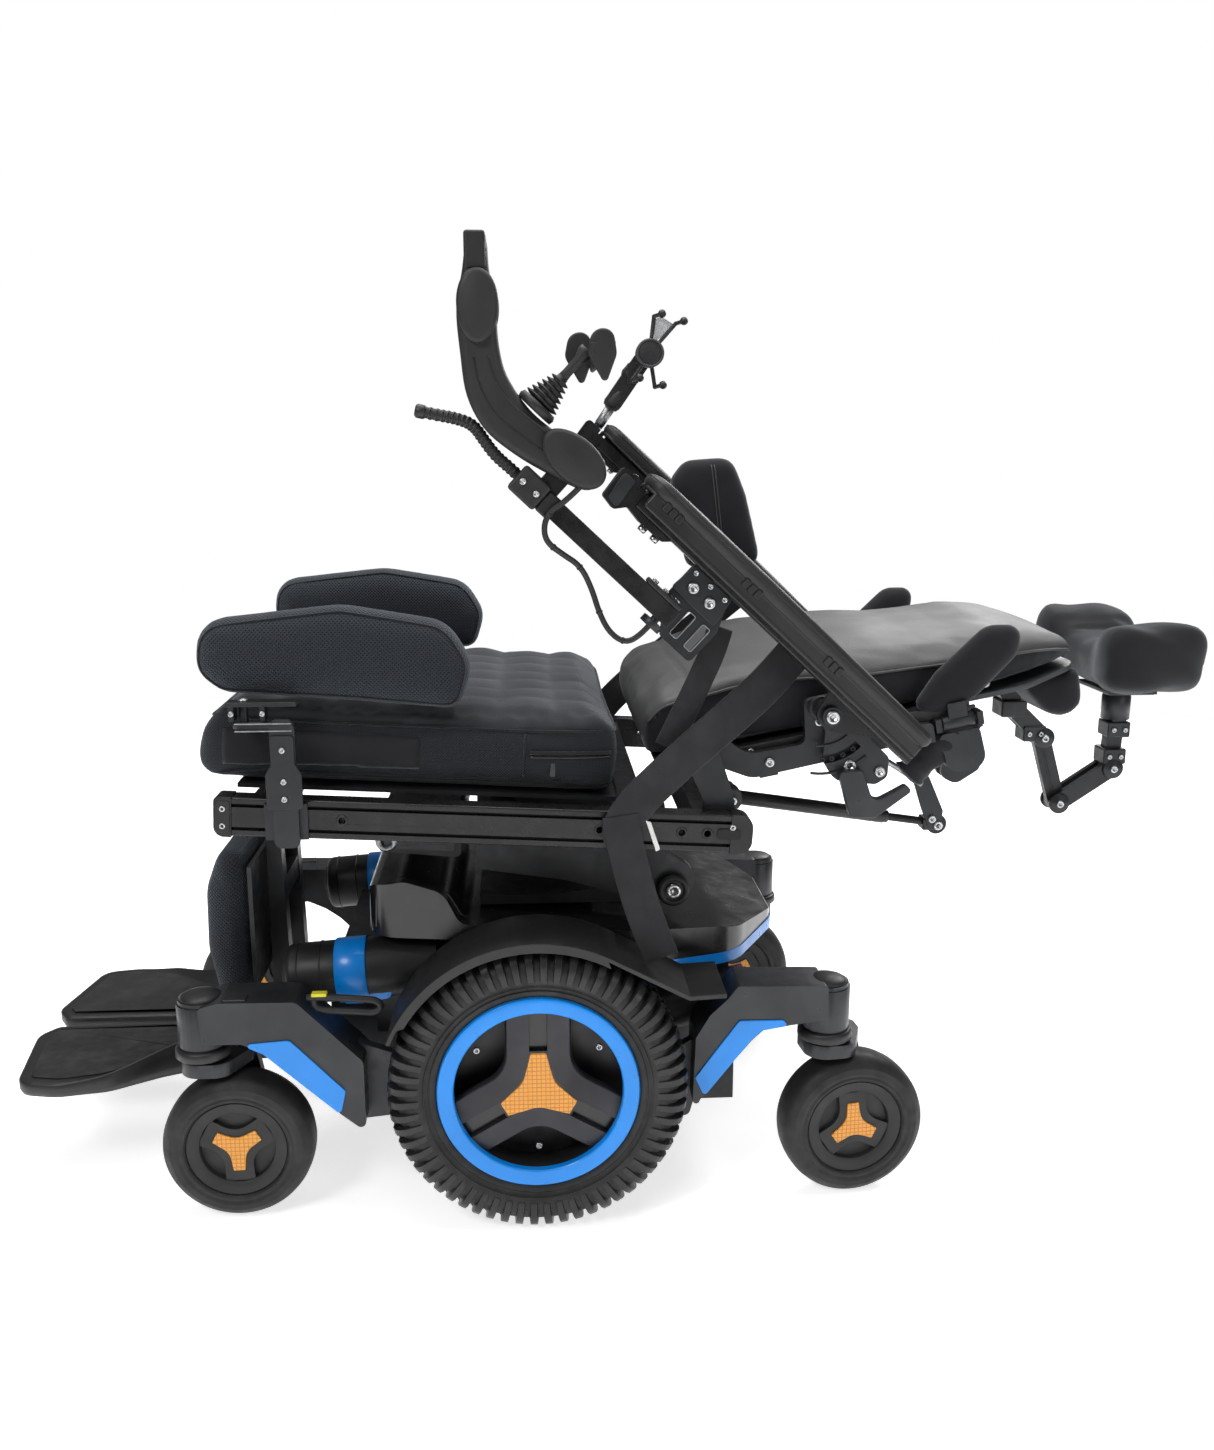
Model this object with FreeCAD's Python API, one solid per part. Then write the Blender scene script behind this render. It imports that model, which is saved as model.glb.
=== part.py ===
import FreeCAD, Part
import math
import os

# Power wheelchair with mid-wheel drive, in millimetres.
# X runs from the toes to the headrest, Y from the occupant's left to the right, Z up.
# Everything is drawn about the drive axle and moved to the middle of the footprint on export.

V = FreeCAD.Vector
X_AXIS = V(1, 0, 0)
Y_AXIS = V(0, 1, 0)
Z_AXIS = V(0, 0, 1)

# ---- driving dimensions ----
DRIVE_R = 177.5            # 14 inch drive wheel
DRIVE_W = 76.0
DRIVE_Y = 284.0            # middle of the drive tyre from the centre plane
CASTER_R = 91.0            # 7 inch caster
CASTER_W = 56.0
CASTER_TRAIL = 36.0
STEM_Y = 245.0
FRONT_STEM_X = -399.0
REAR_STEM_X = 354.0
STEM_R = 10.0
STRAIGHT_LEFT = 0.6         # straight stretch kept between two rounded corners
RUN_GAP = 0.05             # radial clearance of every running fit
SEAT_ANGLE = 3.2           # rearward slope of the seat, degrees
TILT_X, TILT_Z = 172.0, 375.0
BACK_ANGLE = 11.0          # slope of the reclined back above level, degrees
BACK_X, BACK_Z = 187.0, 580.0
ARM_ANGLE = 43.0           # slope of the armrest while the back is down, degrees
ARM_X, ARM_Z = 337.0, 618.0
ARM_PIN_R = 7.0
RAIL_IN, RAIL_OUT = 255.0, 281.0      # inner and outer face of a seat rail
RAIL_LOW, RAIL_HIGH = 458.0, 503.0
SEAT_FRONT, SEAT_REAR = -368.0, 245.0
CUSHION_HALF = 246.0
LEG_X, LEG_Z = -345.0, 470.0          # legrest hinge
FOOT_X, FOOT_Z = -437.0, 128.0        # footplate hinge
COLUMN_X = 10.0
X_MIDDLE = 95.19           # middle of the whole length, measured from the drive axle
Y_MIDDLE = 0.0

NODES = {}


# ---- general helpers ----
def box(x0, x1, y0, y1, z0, z1):
    return Part.makeBox(x1 - x0, y1 - y0, z1 - z0, V(x0, y0, z0))


def rod(start, end, radius):
    run = end - start
    return Part.makeCylinder(radius, run.Length, start, run)


def rod_y(x, z, y0, y1, radius):
    return rod(V(x, y0, z), V(x, y1, z), radius)


def ring_y(x, z, y0, y1, outer, inner):
    return rod_y(x, z, y0, y1, outer).cut(rod_y(x, z, y0 - 1, y1 + 1, inner))


def fuse(shapes):
    whole = shapes[0]
    if len(shapes) > 1:
        whole = whole.multiFuse(shapes[1:])
    return whole.removeSplitter()


def group(shapes):
    return Part.makeCompound(shapes)


def mirrored(shape):
    return shape.mirror(V(0, 0, 0), Y_AXIS)


def both(shape):
    return [shape, mirrored(shape)]


def corner_backs(corners, radii):
    """How far each rounded corner reaches along its edges, shortened where two would meet."""
    count = len(corners)
    halves = []
    for i in range(count):
        into = corners[i - 1] - corners[i]
        out = corners[(i + 1) % count] - corners[i]
        halves.append(into.getAngle(out) / 2)
    flat = math.pi / 2 - 0.01
    backs = [r / math.tan(h) if r > 0 and h < flat else 0.0 for r, h in zip(radii, halves)]
    shares = [1.0] * count
    for i in range(count):
        after = (i + 1) % count
        room = (corners[after] - corners[i]).Length - STRAIGHT_LEFT
        wanted = backs[i] + backs[after]
        if wanted > room:
            shares[i] = min(shares[i], room / wanted)
            shares[after] = min(shares[after], room / wanted)
    return [back * share for back, share in zip(backs, shares)], halves


def rounded_wire(points, place):
    """Closed wire through (p, q) or (p, q, corner radius), put in space by place(p, q)."""
    count = len(points)
    corners = [V(point[0], point[1], 0) for point in points]
    radii = [point[2] if len(point) > 2 else 0.0 for point in points]
    backs, halves = corner_backs(corners, radii)
    starts = []
    ends = []
    mids = []
    for i in range(count):
        corner = corners[i]
        into = (corners[i - 1] - corner).normalize()
        out = (corners[(i + 1) % count] - corner).normalize()
        starts.append(corner + into * backs[i])
        ends.append(corner + out * backs[i])
        if backs[i] == 0:
            mids.append(None)
            continue
        radius = backs[i] * math.tan(halves[i])
        centre = corner + (into + out).normalize() * (radius / math.sin(halves[i]))
        mids.append(centre + (corner - centre).normalize() * radius)
    edges = []
    for i in range(count):
        if mids[i] is not None:
            stops = [place(p.x, p.y) for p in (starts[i], mids[i], ends[i])]
            edges.append(Part.Arc(*stops).toShape())
        there = starts[(i + 1) % count]
        line = Part.LineSegment(place(ends[i].x, ends[i].y), place(there.x, there.y))
        edges.append(line.toShape())
    return Part.Wire(edges)


def prism_xz(points, y0, y1):
    wire = rounded_wire(points, lambda p, q: V(p, y0, q))
    return Part.Face(wire).extrude(V(0, y1 - y0, 0))


def prism_xy(points, z0, z1):
    wire = rounded_wire(points, lambda p, q: V(p, q, z0))
    return Part.Face(wire).extrude(V(0, 0, z1 - z0))


def prism_yz(points, x0, x1):
    wire = rounded_wire(points, lambda p, q: V(x0, p, q))
    return Part.Face(wire).extrude(V(x1 - x0, 0, 0))


def turned(points, x, y, z):
    """Solid of revolution about the line along Y through (x, y, z), from (radius, y offset)."""
    wire = rounded_wire(points, lambda p, q: V(x + p, y + q, z))
    return Part.Face(wire).revolve(V(x, y, z), Y_AXIS, 360)


def oval_y(x, z, half_long, half_short, lean, y0, y1):
    """Elliptical plate in an XZ plane; its long axis leans from +X by lean degrees."""
    curve = Part.Ellipse(V(0, 0, 0), half_long, half_short)
    plate = Part.Face(Part.Wire(curve.toShape())).extrude(V(0, 0, y1 - y0))
    plate.rotate(V(0, 0, 0), X_AXIS, -90)
    plate.rotate(V(0, 0, 0), Y_AXIS, -lean)
    plate.translate(V(x, y0, z))
    return plate


def tube(points, radius):
    """Round cord along straight runs joined by tangent arcs as large as the runs allow."""
    last = len(points) - 1
    edges = []
    here = points[0]
    radii = []
    for i in range(1, last):
        into = points[i] - points[i - 1]
        out = points[i + 1] - points[i]
        turn = into.getAngle(out)
        back = 0.45 * min(into.Length, out.Length)
        bend = back / math.tan(turn / 2)
        radii.append(bend)
        start = points[i] - into * (back / into.Length)
        end = points[i] + out * (back / out.Length)
        side = (start + end) * 0.5 - points[i]
        reach = bend / math.cos(turn / 2) - bend
        middle = points[i] + side.normalize() * reach
        edges.append(Part.LineSegment(here, start).toShape())
        edges.append(Part.Arc(start, middle, end).toShape())
        here = end
    edges.append(Part.LineSegment(here, points[last]).toShape())
    path = Part.Wire(edges)
    profile = Part.Wire(Part.makeCircle(radius, points[0], points[1] - points[0]))
    cord = path.makePipeShell([profile], True, False)
    section = math.pi * radius ** 2
    print("cord radii", [round(r, 1) for r in radii], "length", round(path.Length, 1),
          "volume ratio", round(cord.Volume / (section * path.Length), 4))
    return cord


# ---- placing of the groups ----
def in_seat(shape):
    shape.rotate(V(TILT_X, 0, TILT_Z), Y_AXIS, SEAT_ANGLE)
    return shape


def in_back(shape):
    """From back coordinates: X up the back from the recline pivot, Z towards the occupant."""
    shape.translate(V(BACK_X, 0, BACK_Z))
    shape.rotate(V(BACK_X, 0, BACK_Z), Y_AXIS, -BACK_ANGLE)
    return shape


def in_arm(shape, along=0.0, up=0.0):
    """From armrest coordinates: -X forward from the armrest pin, Z out of the pad."""
    shape.translate(V(-along, 0, up))
    shape.translate(V(ARM_X, 0, ARM_Z))
    shape.rotate(V(ARM_X, 0, ARM_Z), Y_AXIS, ARM_ANGLE)
    return shape


def keep(name, shape):
    NODES[name] = shape


# ---- chassis ----
TRAY_FRONT, TRAY_REAR, TRAY_HALF = -262.0, 258.0, 150.0
TRAY_LOW, TRAY_HIGH, TRAY_WALL = 74.0, 235.0, 4.0
FRONT_PIVOT = (-75.0, 150.0)
REAR_PIVOT = (75.0, 118.0)
PIVOT_R = 9.0
ARM_PLATE_IN, ARM_PLATE_OUT = 229.0, 243.0


def base_frame():
    outer = box(TRAY_FRONT, TRAY_REAR, -TRAY_HALF, TRAY_HALF, TRAY_LOW, TRAY_HIGH)
    wall = TRAY_WALL
    inner = box(TRAY_FRONT + wall, TRAY_REAR - wall, wall - TRAY_HALF, TRAY_HALF - wall,
                TRAY_LOW + wall, TRAY_HIGH + 1)
    pieces = [outer.cut(inner)]
    for x, z in (FRONT_PIVOT, REAR_PIVOT):
        boss = rod_y(x, z, TRAY_HALF, ARM_PLATE_IN - 2, 18)
        pin = rod_y(x, z, TRAY_HALF, ARM_PLATE_OUT + 2, PIVOT_R)
        for piece in (boss, pin):
            pieces.append(piece)
            pieces.append(mirrored(piece))
    return fuse(pieces)


def batteries():
    cells = []
    for x0 in (-254.0, 82.0):
        case = box(x0, x0 + 170, -130, 130, 80, 278)
        posts = [rod(V(x0 + 85, y, 278), V(x0 + 85, y, 286), 9) for y in (-95, 95)]
        cells.append(fuse([case] + posts))
    return group(cells)


MOTOR_Y = 183.0
MOTOR_R = 29.0
MOTOR_START = V(40, -MOTOR_Y, 186)
MOTOR_RUN = V(243, 0, 66).normalize()


def drive_motor():
    """Left gearbox with its drive shaft and the motor that slopes up to the rear."""
    gearbox = box(-48, 48, -226, -152, 130, 226)
    shaft = rod_y(0, DRIVE_R, -290, -226, 12)
    body = rod(MOTOR_START, MOTOR_START + MOTOR_RUN * 225, MOTOR_R)
    tail = rod(MOTOR_START + MOTOR_RUN * 225, MOTOR_START + MOTOR_RUN * 240, MOTOR_R - 6)
    return fuse([gearbox, shaft, body, tail])


def motor_rings():
    ring = rod(MOTOR_START + MOTOR_RUN * 226, MOTOR_START + MOTOR_RUN * 236, MOTOR_R)
    ring = ring.cut(rod(MOTOR_START, MOTOR_START + MOTOR_RUN * 260, MOTOR_R - 5.7))
    return [ring, mirrored(ring)]


def shroud_block(inset):
    plan = [(-206 + inset, 0), (-206 + inset, -200 + inset, 45), (-60, -222 + inset, 60),
            (120, -222 + inset, 80), (250, -185 + inset, 70), (320 - inset, -60, 70),
            (320 - inset, 60, 70), (250, 185 - inset, 70), (120, 222 - inset, 80),
            (-60, 222 - inset, 60), (-206 + inset, 200 - inset, 45)]
    side = [(-207 + inset, 331 - inset), (-207 + inset, 392 - inset, 18),
            (-160, 403 - inset, 30), (-112, 390 - inset, 30), (-92, 350 - inset, 20),
            (60, 344 - inset, 80), (230, 330 - inset, 80), (321 - inset, 306 - inset, 8),
            (318 - inset, 295 - inset), (-60, 295 - inset), (-60, 331 - inset)]
    return prism_xy(plan, 250, 420).common(prism_xz(side, -260, 260))


def base_shroud():
    shell = shroud_block(0.0).cut(shroud_block(4.0))
    column_hole = box(COLUMN_X - 56, COLUMN_X + 56, -66, 66, 250, 420)
    return shell.cut(column_hole)


def shroud_trim():
    """Painted lip under the tail of the shroud."""
    plan = [(150, -214, 20), (252, -183, 70), (322, -60, 70), (322, 60, 70), (252, 183, 70),
            (150, 214, 20)]
    inner = [(140, -206), (250, -176, 70), (314, -58, 70), (314, 58, 70), (250, 176, 70),
             (140, 206)]
    lip = prism_xy(plan, 280, 294.5).cut(prism_xy(inner, 279, 296))
    return lip.cut(box(-100, 160, -300, 300, 270, 300))


BOOM_Y = 175.0
BOOM_R = 38.0
BOOM_FRONT = V(-308, -BOOM_Y, 274)
BOOM_REAR = V(-121, -BOOM_Y, 288)


def nose_boom():
    body = rod(BOOM_FRONT, BOOM_REAR, BOOM_R)
    front_edge = [e for e in body.Edges if abs(e.CenterOfMass.x - BOOM_FRONT.x) < 1 and e.Length > 9]
    body = body.makeFillet(10, front_edge[:1])
    foot = box(-200, -140, -188, -150.5, 200, 262)
    return fuse([body, foot])


def nose_band():
    run = (BOOM_REAR - BOOM_FRONT).normalize()
    start = BOOM_FRONT + run * 62
    end = BOOM_FRONT + run * 100
    return rod(start, end, BOOM_R + 1.6).cut(rod(start - run, end + run, BOOM_R + 0.3))


FENDER_IN, FENDER_OUT = 183.5, 188.5


def polar(radius, degrees, y):
    angle = math.radians(degrees)
    return V(radius * math.cos(angle), y, DRIVE_R + radius * math.sin(angle))


def fender():
    """Arch over the left drive tyre that runs out into a flat shelf at the rear."""
    y = -326.0
    far, near = 158.0, 60.0
    middle = (far + near) / 2
    edges = [
        Part.Arc(polar(FENDER_OUT, far, y), polar(FENDER_OUT, middle, y),
                 polar(FENDER_OUT, near, y)).toShape(),
        Part.LineSegment(polar(FENDER_OUT, near, y), V(176, y, 298)).toShape(),
        Part.LineSegment(V(176, y, 298), V(218, y, 300)).toShape(),
        Part.LineSegment(V(218, y, 300), V(218, y, 294.5)).toShape(),
        Part.LineSegment(V(218, y, 294.5), V(174.5, y, 292.5)).toShape(),
        Part.LineSegment(V(174.5, y, 292.5), polar(FENDER_IN, near, y)).toShape(),
        Part.Arc(polar(FENDER_IN, near, y), polar(FENDER_IN, middle, y),
                 polar(FENDER_IN, far, y)).toShape(),
        Part.LineSegment(polar(FENDER_IN, far, y), polar(FENDER_OUT, far, y)).toShape(),
    ]
    band = Part.Face(Part.Wire(edges)).extrude(V(0, 98, 0))
    lip_out = rod_y(0, DRIVE_R, -326, -322, FENDER_IN + 1).cut(
        rod_y(0, DRIVE_R, -327, -321, FENDER_IN - 6))
    lip = lip_out.common(prism_xz([(-174, 262), (-120, 400), (60, 400), (86, 330)], -330, -320))
    return fuse([band, lip])


# ---- suspension arms and casters ----


def stem_housing(x):
    body = rod(V(x, -STEM_Y, 207), V(x, -STEM_Y, 274), 29)
    cap = rod(V(x, -STEM_Y, 274), V(x, -STEM_Y, 279), 27)
    bore = rod(V(x, -STEM_Y, 200), V(x, -STEM_Y, 268), STEM_R + RUN_GAP)
    return body, cap, bore


def front_arm():
    outline = [(-395, 276, 4), (-372, 282, 6), (-283, 281, 12), (-207, 203, 12), (-207, 112, 6),
               (-236, 136, 8), (-302, 203, 10), (-323, 218, 10), (-349, 230, 10), (-395, 230)]
    outer = prism_xz(outline, -275, -215)
    plate = [(-250, 226, 10), (-190, 203, 25), (-120, 178, 25), (-56, 169, 19), (-56, 131, 19),
             (-120, 122, 25), (-222, 112, 10)]
    inner = prism_xz(plate, -ARM_PLATE_OUT, -ARM_PLATE_IN)
    body, cap, bore = stem_housing(FRONT_STEM_X)
    pivot = rod_y(FRONT_PIVOT[0], FRONT_PIVOT[1], -260, -200, PIVOT_R + RUN_GAP)
    return fuse([outer, inner, body, cap]).cut(bore).cut(pivot)


def rear_arm():
    outline = [(350, 275), (350, 283, 4), (329, 284, 6), (240, 286, 6), (228, 270, 8),
               (207, 250, 10), (190, 221, 8), (186, 103, 6), (196, 140, 8), (258, 216, 10),
               (272, 229, 8), (304, 234, 8), (350, 240)]
    outer = prism_xz(outline, -275, -215)
    plate = [(200, 200, 10), (190, 205, 8), (130, 165, 25), (94, 140, 22), (57, 137, 19),
             (57, 99, 19), (120, 96, 20), (187, 103, 8), (200, 150, 10)]
    inner = prism_xz(plate, -ARM_PLATE_OUT, -ARM_PLATE_IN)
    body, cap, bore = stem_housing(REAR_STEM_X)
    pivot = rod_y(REAR_PIVOT[0], REAR_PIVOT[1], -260, -200, PIVOT_R + RUN_GAP)
    return fuse([outer, inner, body, cap]).cut(bore).cut(pivot)


CASTER_HUB_R = 62.0
FORK_BOTTOM = 186.0
FORK_TOP = 203.0
AXLE_R = 6.0


def caster_fork():
    """Single-sided fork about a stem at the origin, trailing towards +X, leg on the +Y side."""
    stem = rod(V(0, 0, FORK_TOP), V(0, 0, 262), STEM_R)
    crown = prism_xy([(-27, -27, 26), (30, -27, 24), (52, 20, 10), (52, 45, 8), (-10, 45, 20),
                      (-27, 27, 20)], FORK_BOTTOM, FORK_TOP)
    collar = rod(V(0, 0, FORK_TOP), V(0, 0, 205.5), 20)
    leg = prism_xz([(-6, FORK_TOP, 4), (52, FORK_TOP, 8), (60, 160, 30), (58, 91, 22), (36, 71, 19),
                    (14, 91, 19), (10, 150, 30)], 31.5, 45)
    axle = rod_y(CASTER_TRAIL, CASTER_R, -20, 32, AXLE_R)
    return fuse([stem, crown, collar, leg, axle])


def caster_tyre():
    """Tyre about the fork's axle; its tread is rounded and its sidewalls reach the hub."""
    half = CASTER_W / 2
    section = [(CASTER_HUB_R, -half + 3, 2), (CASTER_R - 22, -half, 8), (CASTER_R, -half + 6, 20),
               (CASTER_R, half - 6, 20), (CASTER_R - 22, half, 8), (CASTER_HUB_R, half - 3, 2)]
    return turned(section, CASTER_TRAIL, 0, CASTER_R)


def caster_hub():
    half = CASTER_W / 2
    section = [(AXLE_R + RUN_GAP, -21), (14, -half + 4), (30, -half + 2, 3), (54, -half + 4, 4),
               (CASTER_HUB_R - 0.3, -half + 1), (CASTER_HUB_R - 0.3, half - 4),
               (46, half - 4, 3), (24, 18), (AXLE_R + RUN_GAP, 18)]
    hub = turned(section, CASTER_TRAIL, 0, CASTER_R)
    cap = rod_y(CASTER_TRAIL, CASTER_R, -half + 3.5, -20.5, 13)
    return fuse([hub, cap])


def place_caster(shape, stem_x, side, heading):
    """Turn a caster part about its stem and stand it under the named stem."""
    part = shape.copy()
    if side > 0:
        part = mirrored(part)
    part.rotate(V(0, 0, 0), Z_AXIS, heading)
    part.translate(V(stem_x, side * STEM_Y, 0))
    return part


# name, stem, side and heading of each caster: 0 trails straight back
CASTERS = (
    ("front_left", FRONT_STEM_X, -1, 0.0),
    ("front_right", FRONT_STEM_X, 1, 180.0),
    ("rear_left", REAR_STEM_X, -1, 6.0),
    ("rear_right", REAR_STEM_X, 1, 180.0),
)


# ---- drive wheels ----
RING_OUT, RING_IN = 117.0, 99.0


def drive_tyre():
    half = DRIVE_W / 2
    section = [(RING_OUT + 3, -half + 8, 3), (RING_OUT + 22, -half + 1, 10),
               (DRIVE_R - 20, -half, 12), (DRIVE_R, -half + 13, 12), (DRIVE_R, half - 13, 12),
               (DRIVE_R - 20, half, 12), (RING_OUT + 22, half - 1, 10),
               (RING_OUT + 3, half - 8, 3)]
    return turned(section, 0, -DRIVE_Y, DRIVE_R)


def drive_rim():
    """Dished rim with three wide spokes and the hub that carries the drive shaft."""
    half = DRIVE_W / 2
    barrel = turned([(RING_IN + 2, -half + 14), (RING_OUT + 2.5, -half + 10),
                     (RING_OUT + 2.5, half - 9), (RING_IN + 8, half - 9), (RING_IN + 4, -half + 22)],
                    0, -DRIVE_Y, DRIVE_R)
    hub = ring_y(0, DRIVE_R, -DRIVE_Y - 18, -DRIVE_Y + 36, 34, 12 + RUN_GAP)
    cap = rod_y(0, DRIVE_R, -DRIVE_Y - 22, -DRIVE_Y - 7, 34)
    pieces = [barrel, hub, cap]
    for i in range(3):
        spoke = prism_xz([(-20, 20), (-30, RING_IN + 6), (30, RING_IN + 6), (20, 20)],
                         -DRIVE_Y - 20, -DRIVE_Y - 8)
        spoke.rotate(V(0, 0, 0), Y_AXIS, 120 * i)
        spoke.translate(V(0, 0, DRIVE_R))
        pieces.append(spoke)
    return fuse(pieces)


def drive_ring():
    half = DRIVE_W / 2
    section = [(RING_IN, -half + 12), (RING_IN + 1, -half + 6, 2), (RING_OUT - 2, -half + 4, 2),
               (RING_OUT + 2.4, -half + 7.5), (RING_OUT + 2.4, -half + 9.4),
               (RING_IN + 2, -half + 13.4)]
    return turned(section, 0, -DRIVE_Y, DRIVE_R)


# ---- lift column ----
STAGE_HALF_X = (50.0, 44.4, 38.8)
STAGE_HALF_Y = (60.0, 54.4, 48.8)
STAGE_WALL = 5.0


def stage(level, z0, z1):
    """One square tube of the telescoping column."""
    hx = STAGE_HALF_X[level]
    hy = STAGE_HALF_Y[level]
    outer = box(COLUMN_X - hx, COLUMN_X + hx, -hy, hy, z0, z1)
    wall = STAGE_WALL
    return outer.cut(box(COLUMN_X - hx + wall, COLUMN_X + hx - wall, wall - hy, hy - wall,
                         z0 - 1, z1 + 1))


def lift_carriage():
    """Inner tube of the column with the head that carries the tilt pivot."""
    inner = stage(2, 96, 352)
    head = box(-70, 75, -152, 152, 352, 364)
    lug = prism_xz([(30, 352), (30, 364), (130, 378), (158, 398, 20), (186, 398, 20),
                    (198, 352, 12), (150, 352)], -152, -140)
    pin = rod_y(TILT_X, TILT_Z, -176, -152, 11)
    nut = rod_y(TILT_X, TILT_Z, -180, -176, 16)
    pieces = [inner, head]
    for piece in (lug, pin, nut):
        pieces.append(piece)
        pieces.append(mirrored(piece))
    return fuse(pieces)


# ---- seat ----
def seat_rail():
    """Left slotted rail, with its two grooves and the accessory holes in the outer face."""
    y0, y1 = -RAIL_OUT, -RAIL_IN
    profile = [(y0, RAIL_LOW, 2), (y0, RAIL_LOW + 7), (y0 + 7, RAIL_LOW + 7),
               (y0 + 7, RAIL_LOW + 11), (y0, RAIL_LOW + 11), (y0, RAIL_HIGH - 11),
               (y0 + 7, RAIL_HIGH - 11), (y0 + 7, RAIL_HIGH - 7), (y0, RAIL_HIGH - 7),
               (y0, RAIL_HIGH, 2), (y1, RAIL_HIGH, 2), (y1, RAIL_LOW, 2)]
    rail = prism_yz(profile, SEAT_FRONT + 20, SEAT_REAR - 25)
    for x in RAIL_HOLES:
        rail = rail.cut(rod_y(x, RAIL_MID, y0 - 1, y1 + 1, HOLE_R))
    return rail


RAIL_MID = (RAIL_LOW + RAIL_HIGH) / 2
RAIL_HOLES = (-225.0, 68.0, 163.0, 193.0)
HOLE_R = 4.0


def rail_caps():
    rear = prism_xz([(SEAT_REAR - 24.7, RAIL_LOW - 1), (SEAT_REAR + 1, RAIL_LOW - 1, 16),
                     (SEAT_REAR + 1, RAIL_HIGH + 1, 16), (SEAT_REAR - 24.7, RAIL_HIGH + 1)],
                    -RAIL_OUT - 1, -RAIL_IN)
    front = prism_xz([(SEAT_FRONT, RAIL_LOW - 1, 12), (SEAT_FRONT + 19.7, RAIL_LOW - 1),
                      (SEAT_FRONT + 19.7, RAIL_HIGH + 1), (SEAT_FRONT, RAIL_HIGH + 1, 6)],
                     -RAIL_OUT - 1, -RAIL_IN)
    return [in_seat(c) for c in (rear, front, mirrored(rear), mirrored(front))]


def seat_frame():
    """Cross tubes, tilt arms, legrest lugs and recline lugs, all welded together."""
    bars = [box(x, x + 30, -RAIL_IN + 0.5, RAIL_IN - 0.5, RAIL_LOW + 3, RAIL_HIGH - 5)
            for x in (-330, -60, 95, 180)]
    bars = [in_seat(b) for b in bars]
    arm = prism_xz([(-75, 406, 10), (-70, 446, 20), (-62, 472), (-20, 478), (60, 470, 10),
                    (150, 430, 30), (200, 400, 24), (196, 354, 22), (150, 354, 18), (40, 388, 60)],
                   -170, -156)
    arm = arm.cut(rod_y(TILT_X, TILT_Z, -190, -140, 11 + RUN_GAP))
    leg_lug = prism_xz([(LEG_X - 14, LEG_Z - 14, 13), (LEG_X - 14, LEG_Z + 14, 13), (-318, 512),
                        (-300, 508), (-310, 490), (LEG_X + 14, LEG_Z - 14, 13)], -84, -72)
    leg_pin = rod_y(LEG_X, LEG_Z, -88, 88, 8)
    upright = prism_xz([(190, 466), (240, 468), (232, 520, 40), (208, 590, 18), (186, 600, 18),
                        (168, 590, 18), (176, 560, 30), (200, 505, 20)], -254.5, -240)
    back_pin = rod_y(BACK_X, BACK_Z, -240, -220, 9)
    pieces = bars + [leg_pin]
    for piece in (arm, leg_lug, upright, back_pin):
        pieces.append(piece)
        pieces.append(mirrored(piece))
    return fuse(pieces)


def seat_pan():
    return in_seat(box(-350, 88, -240, 240, RAIL_HIGH + 1.5, RAIL_HIGH + 6.5))


def seat_cushion():
    outline = [(-400, 513, 18), (-374, 605, 26), (84, 606, 22), (88, 513, 12)]
    return in_seat(prism_xz(outline, -CUSHION_HALF, CUSHION_HALF))


def control_module():
    case = prism_xz([(-195, 424, 8), (-195, 462, 6), (-92, 462, 6), (-92, 414, 8)], -150, 150)
    return case


def tilt_actuator():
    """Electric tilt strut under the seat; its lower eye stops clear of the carriage head."""
    start = V(-60, 0, 440)
    run = (V(70, 0, 392) - start).normalize()
    barrel = rod(start, start + run * 90, 17)
    stem = rod(start + run * 90, start + run * 130, 8)
    hanger = box(-76, -48, -24, 24, 440, 471)
    return fuse([barrel, stem, hanger])


# ---- knee supports ----
KNEE_HINGE_X, KNEE_HINGE_Y = -322.0, 275.0
KNEE_IN, KNEE_OUT = 208.0, 266.0
KNEE_LINK_Z = 611.0


def knee_bracket():
    low = KNEE_LINK_Z
    plate = prism_xz([(-293, 474, 8), (-265, 474, 8), (-265, low, 8), (-270, low + 11, 4),
                      (-288, low + 11, 4), (-293, low, 8)], -290, -284)
    link = prism_xy([(KNEE_HINGE_X - 12, -287, 11), (-266, -291, 4), (-266, -283.5, 2),
                     (KNEE_HINGE_X - 12, -263, 11)], low, low + 6)
    pin = rod(V(KNEE_HINGE_X, -KNEE_HINGE_Y, low), V(KNEE_HINGE_X, -KNEE_HINGE_Y, low + 24), 5)
    clamp = box(-304, -256, -284, -RAIL_OUT - 1.2, 482, 524)
    return fuse([plate, link, pin, clamp])


def knee_pad():
    outline = [(-381, 672, 34), (-372, 729, 34), (-200, 746, 60), (-84, 730, 40), (-70, 682, 34),
               (-84, 625, 14), (-200, 635, 60), (-350, 646, 20)]
    return prism_xz(outline, -KNEE_OUT, -KNEE_IN)


def knee_hinge():
    x, y, low = KNEE_HINGE_X, -KNEE_HINGE_Y, KNEE_LINK_Z
    barrel = rod(V(x, y, low + 7), V(x, y, low + 26), 9)
    barrel = barrel.cut(rod(V(x, y, low), V(x, y, low + 24.3), 5 + RUN_GAP))
    leaf = box(x + 8, -250, -273, -KNEE_OUT - 0.6, 638, 664)
    web = box(x + 5, x + 12, -275, -270, low + 8, 652)
    return fuse([barrel, leaf, web])


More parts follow.
